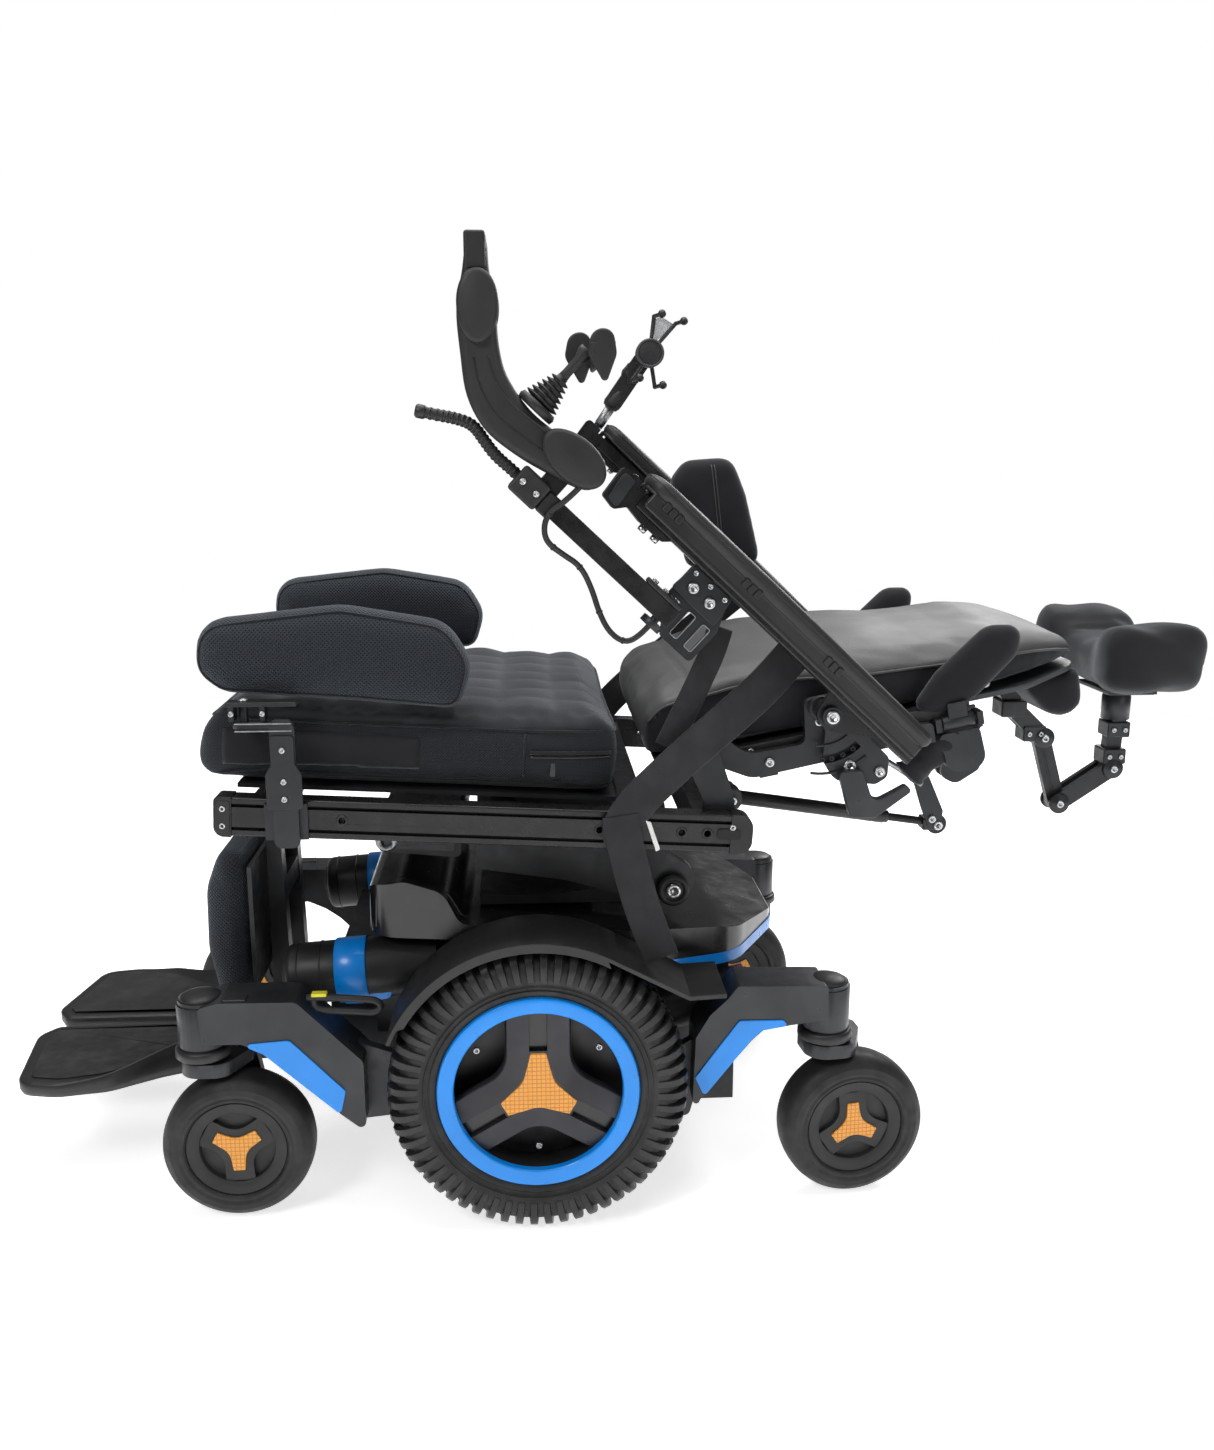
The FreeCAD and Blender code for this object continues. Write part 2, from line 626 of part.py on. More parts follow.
# ---- legrest ----
def legrest_frame():
    pieces = []
    for side in (-1, 1):
        y0, y1 = (-68, -44) if side < 0 else (44, 68)
        boss = ring_y(LEG_X, LEG_Z, y0, y1, 17, 8 + RUN_GAP)
        post = prism_xz([(-350, 456, 4), (-332, 456, 4), (-324, 150, 10), (-350, 146, 8)], y0, y1)
        shoe = prism_xz([(-346, 160, 8), (-322, 152, 8), (-330, 112, 10), (FOOT_X + 14, 106, 6),
                         (FOOT_X + 14, 128, 6), (-360, 134, 12)], y0, y1)
        lug = prism_xz([(FOOT_X + 30, 106, 4), (FOOT_X + 30, 130, 4), (FOOT_X - 12, FOOT_Z + 12, 11),
                        (FOOT_X - 12, FOOT_Z - 12, 11)], y0, y1)
        pieces += [post.cut(rod_y(LEG_X, LEG_Z, -90, 90, 12)), boss, shoe, lug]
    pieces.append(box(-344, -330, -68, 68, 330, 360))
    pieces.append(rod_y(FOOT_X, FOOT_Z, -108, 108, 7))
    return fuse(pieces)


def calf_pad():
    outline = [(-392, 428, 24), (-366, 428, 16), (-357, 400, 10), (-357, 250, 10), (-366, 226, 14),
               (-398, 226, 22), (-410, 300, 60), (-408, 380, 40)]
    return prism_xz(outline, -168, -14)


def calf_plate():
    return box(-355.6, -350.2, -160, -20, 250, 410)


def footplate():
    """Left footplate: a flat tread with an outer wall that rises towards the heel."""
    plan = [(-440, -74, 6), (-442, -106, 12), (-486, -132, 60), (-540, -172, 60), (-600, -186, 60),
            (-652, -176, 26), (-674, -40, 30), (-655, -13, 12), (-440, -13, 6)]
    tread = prism_xy(plan, 120, 138)
    wall_band = prism_xy(plan, 120, 182)
    inner = [(-430, -60), (-448, -100, 12), (-488, -125, 60), (-542, -165, 60), (-600, -180, 56),
             (-640, -171, 26), (-700, -100), (-700, 20), (-430, 20)]
    wall_band = wall_band.cut(prism_xy(inner, 110, 190))
    ramp = prism_xz([(-640, 110), (-640, 141), (-560, 146, 60), (-478, 172, 40), (-440, 178, 4),
                     (-440, 110)], -200, 0)
    wall = wall_band.common(ramp)
    knuckles = []
    for y0, y1 in ((-104, -72), (-40, -16)):
        knuckle = rod_y(FOOT_X, FOOT_Z, y0, y1, 13)
        knuckles.append(knuckle)
    web = box(FOOT_X - 30, FOOT_X - 2, -104, -72, 121, 137)
    web_in = box(FOOT_X - 30, FOOT_X - 2, -40, -16, 121, 137)
    slot = box(FOOT_X - 14, FOOT_X + 30, -71, -41, 100, 160)
    body = fuse([tread, wall] + knuckles + [web, web_in])
    return body.cut(slot).cut(rod_y(FOOT_X, FOOT_Z, -120, 0, 7 + RUN_GAP))


# ---- back ----
SHELL_LOW, SHELL_HIGH = -34.0, -28.0
BACK_LENGTH = 512.0


def back_plan(inset, start):
    return [(start, -205 + inset, 40), (200, -214 + inset, 60), (270, -194 + inset, 40),
            (420, -190 + inset, 60), (BACK_LENGTH - inset, -130 + inset, 50),
            (BACK_LENGTH - inset, 130 - inset, 50), (420, 190 - inset, 60), (270, 194 - inset, 40),
            (200, 214 - inset, 60), (start, 205 - inset, 40)]


def back_shell():
    plate = prism_xy(back_plan(4.0, -46), SHELL_LOW, SHELL_HIGH)
    ribs = [box(40, 440, y - 3, y + 3, -44, SHELL_LOW) for y in (-70, 70)]
    return in_back(fuse([plate] + ribs))


def back_cushion():
    side = [(-56, -20, 16), (-60, 58, 26), (20, 68, 80), (95, 84, 80), (250, 66, 200),
            (330, 52, 120), (400, 54, 80), (470, 26, 60), (514, -6, 12), (508, -26, 8)]
    block = prism_xy(back_plan(0.0, -58), -60, 100)
    lobe = prism_xz([(443, -36.5), (446, -56, 10), (466, -88, 26), (492, -95, 24), (509, -80, 16),
                     (510, -36.5)], -132, -42)
    return group([in_back(block.common(prism_xz(side, -230, 230)))] + both(in_back(lobe)))


def back_frame():
    """Side plates on the recline pivot, cross bars and the spine that carries the headrest."""
    plate = prism_xz([(-16, -14, 14), (-16, 16, 14), (16, 16, 14), (60, -30, 30), (130, -32, 10),
                      (136, 20, 10), (174, 20, 10), (184, -32, 10), (284, -38, 6), (284, -56, 6),
                      (60, -60, 30)], -236, -224)
    plate = plate.cut(rod_y(0, 0, -250, -210, 9 + RUN_GAP))
    plate = plate.cut(rod_y(ARM_U, ARM_V, -250, -210, ARM_PIN_R + RUN_GAP))
    bars = [box(x, x + 22, -236, 236, -62, -46) for x in (70, 190, 262)]
    spine = box(80, 480, -22, 22, -56, -46)
    clevis = prism_xz([(330, -46), (360, -46), (356, -128, 10), (322, -142, 14), (304, -128, 12)],
                      -164, -158)
    clevis_far = clevis.copy()
    clevis_far.translate(V(0, 22, 0))
    clevis_bar = box(270, 350, -166, -134, -58, -46)
    pieces = bars + [spine, clevis, clevis_far, clevis_bar]
    return in_back(fuse(pieces + both(plate)))


ARM_RUN = V(ARM_X - BACK_X, 0, ARM_Z - BACK_Z)
TURN = math.radians(BACK_ANGLE)
ARM_U = ARM_RUN.x * math.cos(TURN) + ARM_RUN.z * math.sin(TURN)
ARM_V = ARM_RUN.z * math.cos(TURN) - ARM_RUN.x * math.sin(TURN)


# ---- recline strut ----
STRUT_Y = -150.0
STRUT_LOW = V(245, STRUT_Y, 488)
STRUT_HIGH = V(511, STRUT_Y, 448)
STRUT_BARREL_R = 9.0
STRUT_STEM_R = 5.0


def recline_barrel():
    run = (STRUT_HIGH - STRUT_LOW).normalize()
    body = rod(STRUT_LOW + run * 12, STRUT_LOW + run * 200, STRUT_BARREL_R)
    bore = rod(STRUT_LOW + run * 30, STRUT_LOW + run * 210, STRUT_STEM_R + 0.5)
    eye = ring_y(STRUT_LOW.x, STRUT_LOW.z, STRUT_Y - 8, STRUT_Y + 8, 15, 7 + RUN_GAP)
    hole = rod_y(STRUT_LOW.x, STRUT_LOW.z, STRUT_Y - 12, STRUT_Y + 12, 7 + RUN_GAP)
    return fuse([body.cut(bore), eye]).cut(hole)


def recline_stem():
    run = (STRUT_HIGH - STRUT_LOW).normalize()
    reach = (STRUT_HIGH - STRUT_LOW).Length
    body = rod(STRUT_LOW + run * 36, STRUT_LOW + run * (reach - 8), STRUT_STEM_R)
    eye = ring_y(STRUT_HIGH.x, STRUT_HIGH.z, STRUT_Y - 6, STRUT_Y + 6, 13, 5)
    hole = rod_y(STRUT_HIGH.x, STRUT_HIGH.z, STRUT_Y - 9, STRUT_Y + 9, 5)
    return fuse([body, eye]).cut(hole)


def strut_bracket():
    """Clevis behind the rear cross tube that carries the fixed end of the recline strut."""
    near = STRUT_Y - 22
    side = prism_xz([(222, 477, 2), (222, 500), (250, 503, 10), (261, 488, 12), (250, 474, 10)],
                    near, near + 5)
    far = side.copy()
    far.translate(V(0, 39, 0))
    pin = rod_y(STRUT_LOW.x, STRUT_LOW.z, near, near + 44, 7)
    return fuse([side, far, pin])


# ---- lateral supports ----
LATERAL_V, LATERAL_Y = -44.0, 226.0


def lateral_pad():
    outline = [(262, -20, 14), (300, 16, 30), (370, 62, 22), (412, 52, 22), (404, 24, 22),
               (340, -18, 30), (298, -31, 22)]
    return in_back(prism_xz(outline, -229, -206))


def lateral_arm():
    hub = rod(V(296, -LATERAL_Y, LATERAL_V), V(336, -LATERAL_Y, LATERAL_V), 9)
    hub = hub.cut(rod(V(290, -LATERAL_Y, LATERAL_V), V(340, -LATERAL_Y, LATERAL_V), 5 + RUN_GAP))
    arm = box(304, 328, -234, -229.5, LATERAL_V + 5, 20)
    return in_back(fuse([hub, arm]))


def lateral_mount():
    pin = rod(V(288, -LATERAL_Y, LATERAL_V), V(344, -LATERAL_Y, LATERAL_V), 5)
    ends = [box(x, x + 7, -236, -213, LATERAL_V - 8, LATERAL_V + 8) for x in (287, 338)]
    rail = box(284.2, 350, -213.5, -196, -58, -46)
    wrap = prism_xz([(290, -56, 6), (340, -56, 6), (344, -106, 18), (296, -106, 18)], -232, -198)
    return in_back(fuse([pin, rail] + ends + [wrap]))


# ---- headrest ----
HEAD_A = (704.0, 526.0)
HEAD_B = (732.0, 432.0)
HEAD_C = (805.0, 481.0)
HEAD_D = (809.0, 557.0)
HEAD_BARREL_R = 13.0


def link_xz(a, b, half, y0, y1):
    """Flat link with round ends between two points of an XZ plane."""
    run = V(b[0] - a[0], 0, b[1] - a[1])
    side = V(-run.z, 0, run.x).normalize() * half
    p = V(a[0], y0, a[1])
    q = V(b[0], y0, b[1])
    corners = [p + side, q + side, q - side, p - side, p + side]
    bar = Part.Face(Part.makePolygon(corners)).extrude(V(0, y1 - y0, 0))
    return fuse([bar, rod_y(a[0], a[1], y0, y1, half), rod_y(b[0], b[1], y0, y1, half)])


def headrest_mount():
    bar = link_xz((648, 594), (668, 560), 12, -14, 14)
    foot = link_xz((668, 560), HEAD_A, 12, -14, -6)
    foot_far = link_xz((668, 560), HEAD_A, 12, 6, 14)
    pin = rod_y(HEAD_A[0], HEAD_A[1], -18, 18, 6)
    clamp = in_back(box(430, 486, -30, 30, -66, -56.3))
    return fuse([bar, foot, foot_far, pin, clamp])


def headrest_lower():
    link = link_xz(HEAD_A, HEAD_B, 12, -5.7, 5.7)
    link = link.cut(rod_y(HEAD_A[0], HEAD_A[1], -10, 10, 6 + RUN_GAP))
    pin = rod_y(HEAD_B[0], HEAD_B[1], -16, 16, 6)
    return fuse([link, pin])


def headrest_upper():
    parts = []
    for y0, y1 in ((-14, -6), (6, 14)):
        side = link_xz(HEAD_B, HEAD_C, 12, y0, y1)
        parts.append(side.cut(rod_y(HEAD_B[0], HEAD_B[1], -20, 20, 6 + RUN_GAP)))
    knee = rod_y(HEAD_C[0], HEAD_C[1], -14, 14, 14)
    riser = link_xz(HEAD_C, (HEAD_D[0], HEAD_D[1] - 10), 11, -8, 8)
    barrel = rod_y(HEAD_D[0], HEAD_D[1], -14, 14, HEAD_BARREL_R)
    return fuse(parts + [knee, riser, barrel])


def headrest_pad():
    """Centre pad with two wings that fold forward round the head."""
    centre = prism_xz([(742, 606, 16), (738, 644, 20), (760, 662, 20), (850, 660, 18),
                       (858, 616, 16)], -58, 58)
    wing = prism_xy([(728, -104, 24), (764, -140, 26), (850, -138, 26), (876, -100, 20),
                     (868, -59, 8), (738, -59, 8)], 598, 700)
    side = prism_xz([(730, 613, 12), (722, 661, 16), (746, 682, 20), (772, 697, 20),
                     (846, 699, 20), (872, 660, 24), (840, 612, 24), (776, 599, 24)], -160, -50)
    wing = wing.common(side)
    return fuse([centre, wing, mirrored(wing)])


def headrest_socket():
    cup = rod(V(HEAD_D[0], 0, HEAD_D[1] + 3), V(HEAD_D[0], 0, HEAD_D[1] + 34), 19)
    hollow = rod_y(HEAD_D[0], HEAD_D[1], -30, 30, HEAD_BARREL_R + RUN_GAP)
    plate = box(774, 838, -50, 50, 591, 597)
    post = rod(V(HEAD_D[0], 0, HEAD_D[1] + 30), V(HEAD_D[0], 0, 592), 14)
    return fuse([cup, plate, post]).cut(hollow)


# ---- armrests ----
LINK_IN, LINK_OUT = 239.0, 247.0
PAD_IN, PAD_OUT = 251.0, 329.0
TRACK_IN, TRACK_OUT = 278.0, 312.0
FAR_SHIFT_A, FAR_SHIFT_B = 50.0, 42.0
SLOT_R = 61.0


def armrest_link():
    """Plate that follows the back; its curved slot is where the armrest angle is set."""
    plate = prism_xz([(-15, -15, 14), (-15, 14, 14), (100, 12, 8), (116, -6, 10), (112, -22, 10),
                      (72, -52, 20), (44, -44, 12), (20, -15, 10)], -LINK_OUT, -LINK_IN)
    slot = ring_y(0, 0, -LINK_OUT - 1, -LINK_IN + 1, SLOT_R + 5, SLOT_R - 5)
    slot = slot.common(prism_xz([(0, 0), (90, -2), (90, -58), (58, -60)], -260, -230))
    pin = rod_y(0, 0, -292, -220, ARM_PIN_R)
    heads = [rod_y(0, 0, -296, -292, 11), rod_y(0, 0, -223.4, -220, 10)]
    return in_arm(fuse([plate.cut(slot), pin] + heads))


def armrest_track(shift_a, shift_b):
    """Extruded track under the pad with the lug that turns on the armrest pin."""
    profile = [(-TRACK_OUT, 18, 3), (-TRACK_OUT, 36), (-TRACK_OUT + 5, 40), (-TRACK_IN - 5, 40),
               (-TRACK_IN, 36), (-TRACK_IN, 18, 3)]
    track = prism_yz(profile, -326, 97)
    track.translate(V(-shift_a, 0, shift_b))
    lug = prism_xz([(-14, -14, 13), (-20, 20 + shift_b), (70, 20 + shift_b), (40, 6, 20),
                    (14, -14, 13)], -288, -280)
    spacer = rod_y(0, 0, -281, -LINK_OUT - 1, 12)
    body = fuse([track, lug, spacer]).cut(rod_y(0, 0, -300, -230, ARM_PIN_R + RUN_GAP))
    return in_arm(body)


def armrest_pad(shift_a, shift_b):
    plan = [(-337, -PAD_IN, 26), (-337, -PAD_OUT, 26), (98, -PAD_OUT, 14), (98, -PAD_IN, 14)]
    pad = prism_xy(plan, 41, 62)
    return in_arm(pad, shift_a, shift_b)


def accessory_clamp(shift_a, shift_b):
    """Gusseted block at the front end of the armrest track."""
    block = prism_xz([(-342, 0, 4), (-360, 3, 4), (-364, 42.3, 6), (-338.5, 42.3, 2), (-338.5, 36),
                      (-326.5, 36), (-326.5, 17.5), (-272, 17.5), (-280, 10, 3), (-312, 9, 4),
                      (-332, 12, 5)], -310, -280)
    block.translate(V(-shift_a, 0, shift_b))
    return in_arm(block)


# ---- joystick ----
JOY_TUBE_Z = -43.0


def joystick_bracket():
    """Slotted plate and clamp that hang the joystick tube below the track."""
    plate = prism_xz([(-176, 16, 3), (-232, 16, 3), (-232, -30, 8), (-206, -66, 6), (-160, -66, 6),
                      (-160, -20, 8)], -277.4, -272)
    clamp = box(-232, -176, -286, -277.4, -4, 17.4)
    knuckle = rod(V(-226, -300, -66), V(-226, -300, -58), 13)
    ear = box(-232, -214, -300, -272, -62, -58)
    pin = rod(V(-226, -300, -62), V(-226, -300, -24), 5)
    slots = [box(-200 + i * 22, -190 + i * 22, -280, -270, -56, -24) for i in range(2)]
    body = fuse([plate, clamp, ear, knuckle, pin])
    return in_arm(body.cut(slots[0]).cut(slots[1]))


def joystick_arm():
    """Square tube that swings outward on the bracket and holds the joystick housing."""
    tube_body = box(-440, -212, -311, -289, JOY_TUBE_Z - 11, JOY_TUBE_Z + 11)
    tube_body = tube_body.cut(rod(V(-226, -300, -80), V(-226, -300, 0), 5 + RUN_GAP))
    post = prism_xz([(-420, -36), (-420, -17.8), (-395, -10.8), (-395, -36)], -308, -292)
    return in_arm(fuse([tube_body, post]))


JOY_IN, JOY_OUT = 272.0, 321.0


def joystick_housing():
    outline = [(-62, 1129, 7), (-43, 1129, 7), (-33, 1070, 30), (-30, 1000, 70), (18, 944, 60),
               (80, 908, 16), (66, 868, 18), (6, 900, 60), (-58, 956, 50), (-76, 1062, 40)]
    body = prism_xz(outline, -JOY_OUT, -JOY_IN)
    screen = box(-60, -45, -318, -282, 1124, 1132)
    return fuse([body, screen])


def joystick_cheeks():
    cheeks = []
    for y0, y1 in ((-JOY_OUT - 8, -JOY_OUT - 0.3), (-JOY_IN + 0.3, -JOY_IN + 6)):
        cheeks.append(oval_y(-53, 1057, 38, 22, 90, y0, y1))
        cheeks.append(oval_y(45, 905, 43, 27, -41, y0, y1))
    return cheeks


STICK_BASE = V(9, -300, 960)
STICK_RUN = V(0.68, 0, 0.733)


def joystick_stick():
    """Rod with its bellows and the U-shaped palm rest."""
    tip = STICK_BASE + STICK_RUN * 70
    pieces = [Part.makeCone(15, 10, 28, STICK_BASE + STICK_RUN * 5, STICK_RUN),
              rod(STICK_BASE + STICK_RUN * 5, tip, 6), rod(STICK_BASE, STICK_BASE + STICK_RUN * 6, 2.6),
              rod_y(STICK_BASE.x, STICK_BASE.z, -308, -292, 3)]
    cross = box(70, 84, -324, -276, 1004, 1020)
    for y0 in (-326, -279):
        pieces.append(prism_xz([(58, 1014, 14), (66, 1040, 14), (92, 1040, 16), (94, 1008, 14),
                                (80, 974, 5)], y0, y0 + 5))
    joined = rod(STICK_BASE + STICK_RUN * 60, V(76, -300, 1012), 7)
    return fuse(pieces + [cross, joined])


# ---- phone holder ----
PHONE_Y = 295.0


def phone_mount():
    """Ball post on the far accessory block and the double-socket arm with its wing knob."""
    post = rod(V(106, PHONE_Y, 950), V(128, PHONE_Y, 980), 7)
    arm = link_xz((130, 986), (172, 1046), 13, PHONE_Y - 14, PHONE_Y + 14)
    knob = rod_y(156, 1026, PHONE_Y - 30, PHONE_Y - 14, 7)
    wing = box(148, 164, PHONE_Y - 36, PHONE_Y - 30, 1012, 1040)
    ball = Part.makeSphere(10, V(178, PHONE_Y - 22, 1052))
    neck = rod_y(178, 1052, PHONE_Y - 18, PHONE_Y - 8, 6)
    return fuse([post, arm, knob, wing, ball, neck])


def phone_grip():
    """Round cup with four spring fingers that end in rubber balls."""
    cup = rod_y(180, 1054, PHONE_Y - 52, PHONE_Y - 27, 20)
    hollow = Part.makeSphere(10 + RUN_GAP, V(178, PHONE_Y - 22, 1052))
    pieces = [cup.cut(hollow)]
    for dx, dz in ((6, 52), (38, 42), (-26, -38), (8, -48)):
        root = V(180, PHONE_Y - 44, 1054)
        tip = root + V(dx, 0, dz)
        knob_end = tip + V(10, -18, 2)
        pieces += [rod(root, tip, 3.0), rod(tip, knob_end, 3.0), Part.makeSphere(3.2, tip)]
        pieces.append(Part.makeSphere(6, knob_end))
    return fuse(pieces)


# ---- soft straps and side pads ----
def elbow_pad():
    outline = [(204, 868, 30), (232, 902, 22), (300, 906, 26), (322, 840, 60), (346, 742, 18),
               (232, 742, 18), (226, 800, 30)]
    return prism_xz(outline, 196, 236)


def elbow_bracket():
    plate = box(-205, -150, 236.4, 240.4, 62, 126)
    strut = box(-170, -150, 240, 277.8, 62, 78)
    return in_arm(fuse([plate, strut]))


def hip_belt():
    """Webbing from the back frame over the seat rail and down beside the shroud."""
    strap = prism_xz([(262, 668, 4), (228, 644, 40), (112, 536, 40), (80, 486, 20), (92, 440, 60),
                      (138, 324, 2), (164, 328, 2), (142, 420, 60), (130, 484, 20), (160, 532, 40),
                      (278, 634, 4)], -288, -286)
    return strap


CABLE_R = 3.2
CABLE_ROUTE = (
    (384, -316, -6.9), (385, -316, -28), (390, -317, -46), (386, -317, -62), (372, -316, -74),
    (350, -310, -72), (326, -304, -68), (300, -300, -78), (276, -300, -92), (254, -300, -100),
    (234, -300, -98), (226, -300, -84), (226, -300, -66.4),
)
HARNESS_R = 6.0
HARNESS_ROUTE = ((440.4, -300, -43), (452, -300, -43), (472, -300, -44), (492, -300, -40),
                 (510, -300, -36), (528, -300, -44), (546, -298, -56), (561, -298, -65))


def joystick_cable():
    """Joystick lead to the bracket and the spiral-wrapped spare plugs ahead of the tube."""
    lead = tube([V(-a, y, b) for a, y, b in CABLE_ROUTE], CABLE_R)
    harness = tube([V(-a, y, b) for a, y, b in HARNESS_ROUTE], HARNESS_R)
    return group([in_arm(lead), in_arm(harness)])


def base_nodes():
    keep("base_frame", group([base_frame(), stage(0, TRAY_LOW + TRAY_WALL + 0.2, 340)]))
    keep("batteries", batteries())
    keep("drive_motors", group(both(drive_motor()) + motor_rings()))
    keep("base_shroud", group([base_shroud(), shroud_trim()]))
    keep("nose_booms", group(both(nose_boom()) + both(nose_band())))
    keep("fenders", group(both(fender())))
    keep("lift_middle_tube", stage(1, 88, 346))
    keep("lift_carriage", lift_carriage())


def wheel_nodes():
    for side, turn_over in (("left", False), ("right", True)):
        tyre = drive_tyre()
        rim = group([drive_rim(), drive_ring()])
        keep("drive_tyre_" + side, mirrored(tyre) if turn_over else tyre)
        keep("drive_rim_" + side, mirrored(rim) if turn_over else rim)
    for name, stem_x, side, heading in CASTERS:
        arm = front_arm() if stem_x < 0 else rear_arm()
        wheel = group([caster_tyre(), caster_hub()])
        keep("suspension_arm_" + name, arm if side < 0 else mirrored(arm))
        keep("caster_fork_" + name, place_caster(caster_fork(), stem_x, side, heading))
        keep("caster_wheel_" + name, place_caster(wheel, stem_x, side, heading))


def seat_nodes():
    rail = seat_rail()
    keep("seat_rails", group([in_seat(r) for r in both(rail)] + rail_caps()))
    keep("seat_frame", group([seat_frame(), seat_pan(), strut_bracket()]))
    keep("seat_cushion", seat_cushion())
    keep("seat_drive_unit", group([control_module(), tilt_actuator()]))
    keep("knee_brackets", group(both(knee_bracket())))
    knee = group([knee_pad(), knee_hinge()])
    keep("knee_pad_left", knee)
    keep("knee_pad_right", mirrored(knee))
    keep("legrest_frame", group([legrest_frame()] + both(calf_plate())))
    keep("calf_pads", group(both(calf_pad())))
    keep("footplate_left", footplate())
    keep("footplate_right", mirrored(footplate()))
    keep("hip_belt", group(both(hip_belt())))


def back_nodes():
    keep("back_frame", group([back_frame(), headrest_mount()] + both(lateral_mount())))
    keep("back_shell", back_shell())
    keep("back_cushion", back_cushion())
    lateral = group([lateral_pad(), lateral_arm()])
    keep("lateral_left", lateral)
    keep("lateral_right", mirrored(lateral))
    keep("headrest_lower_link", headrest_lower())
    keep("headrest_upper_link", headrest_upper())
    keep("headrest_pad", group([headrest_pad(), headrest_socket()]))
    keep("recline_barrel", recline_barrel())
    keep("recline_stem", recline_stem())


def arm_nodes():
    keep("armrest_link_left", armrest_link())
    keep("armrest_link_right", mirrored(armrest_link()))
    keep("armrest_track_left", group([armrest_track(0, 0), accessory_clamp(0, 0)]))
    keep("armrest_pad_left", armrest_pad(0, 0))
    far = group([armrest_track(FAR_SHIFT_A, FAR_SHIFT_B), accessory_clamp(FAR_SHIFT_A, FAR_SHIFT_B)])
    keep("armrest_track_right", group([mirrored(far), elbow_bracket()]))
    keep("armrest_pad_right", mirrored(armrest_pad(FAR_SHIFT_A, FAR_SHIFT_B)))
    keep("elbow_pad", elbow_pad())
    keep("joystick_bracket", joystick_bracket())
    keep("joystick_arm", joystick_arm())
    keep("joystick_housing", group([joystick_housing()] + joystick_cheeks()))
    keep("joystick_stick", joystick_stick())
    keep("joystick_cable", joystick_cable())
    keep("phone_mount", phone_mount())
    keep("phone_grip", phone_grip())


def export():
    os.makedirs("parts", exist_ok=True)
    shift = V(-X_MIDDLE, -Y_MIDDLE, 0)
    for name, shape in NODES.items():
        shape.translate(shift)
        shape.exportStep("parts/" + name + ".step")


base_nodes()
wheel_nodes()
seat_nodes()
back_nodes()
arm_nodes()
export()
print(len(NODES), "nodes")
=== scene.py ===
import math

import bmesh
import bpy
import numpy as np
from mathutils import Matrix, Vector
from mathutils.bvhtree import BVHTree


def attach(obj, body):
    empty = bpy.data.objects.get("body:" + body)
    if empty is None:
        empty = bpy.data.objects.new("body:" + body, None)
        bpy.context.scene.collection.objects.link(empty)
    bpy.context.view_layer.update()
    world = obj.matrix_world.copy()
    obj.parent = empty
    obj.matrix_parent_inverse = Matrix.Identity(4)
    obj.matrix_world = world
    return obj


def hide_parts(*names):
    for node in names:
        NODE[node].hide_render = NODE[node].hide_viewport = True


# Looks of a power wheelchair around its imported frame. Lengths are metres; the helpers
# seat_at, back_at and arm_at take millimetres in the same local frames as the design.

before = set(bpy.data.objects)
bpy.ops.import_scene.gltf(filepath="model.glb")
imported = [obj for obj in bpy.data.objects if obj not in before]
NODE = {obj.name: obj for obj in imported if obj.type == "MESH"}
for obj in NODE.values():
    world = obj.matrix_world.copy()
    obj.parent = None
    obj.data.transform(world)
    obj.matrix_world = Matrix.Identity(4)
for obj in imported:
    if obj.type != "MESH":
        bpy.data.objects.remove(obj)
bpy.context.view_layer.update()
MM = 0.001

X_MIDDLE = 95.19  # the design's x at the middle of the frame
SEAT_ANGLE, TILT = 3.2, (172.0, 375.0)
BACK_ANGLE, BACK_PIVOT = -11.0, (187.0, 580.0)
ARM_ANGLE, ARM_PIN = 43.0, (337.0, 618.0)
SIDES = (("left", -1), ("right", 1))


# ---- places ----
def at(x, y, z):
    return Vector((x - X_MIDDLE, y, z)) * MM


def turned_xz(x, z, pivot, degrees):
    angle = math.radians(degrees)
    dx, dz = x - pivot[0], z - pivot[1]
    return (pivot[0] + dx * math.cos(angle) + dz * math.sin(angle),
            pivot[1] - dx * math.sin(angle) + dz * math.cos(angle))


def seat_at(x, y, z):
    px, pz = turned_xz(x, z, TILT, SEAT_ANGLE)
    return at(px, y, pz)


def back_at(u, y, v):
    """u runs up the back from the recline pivot, v towards the occupant."""
    px, pz = turned_xz(BACK_PIVOT[0] + u, BACK_PIVOT[1] + v, BACK_PIVOT, BACK_ANGLE)
    return at(px, y, pz)


def arm_at(a, y, b):
    """a runs forward along the armrest from its pin, b out of the pad."""
    px, pz = turned_xz(ARM_PIN[0] - a, ARM_PIN[1] + b, ARM_PIN, ARM_ANGLE)
    return at(px, y, pz)


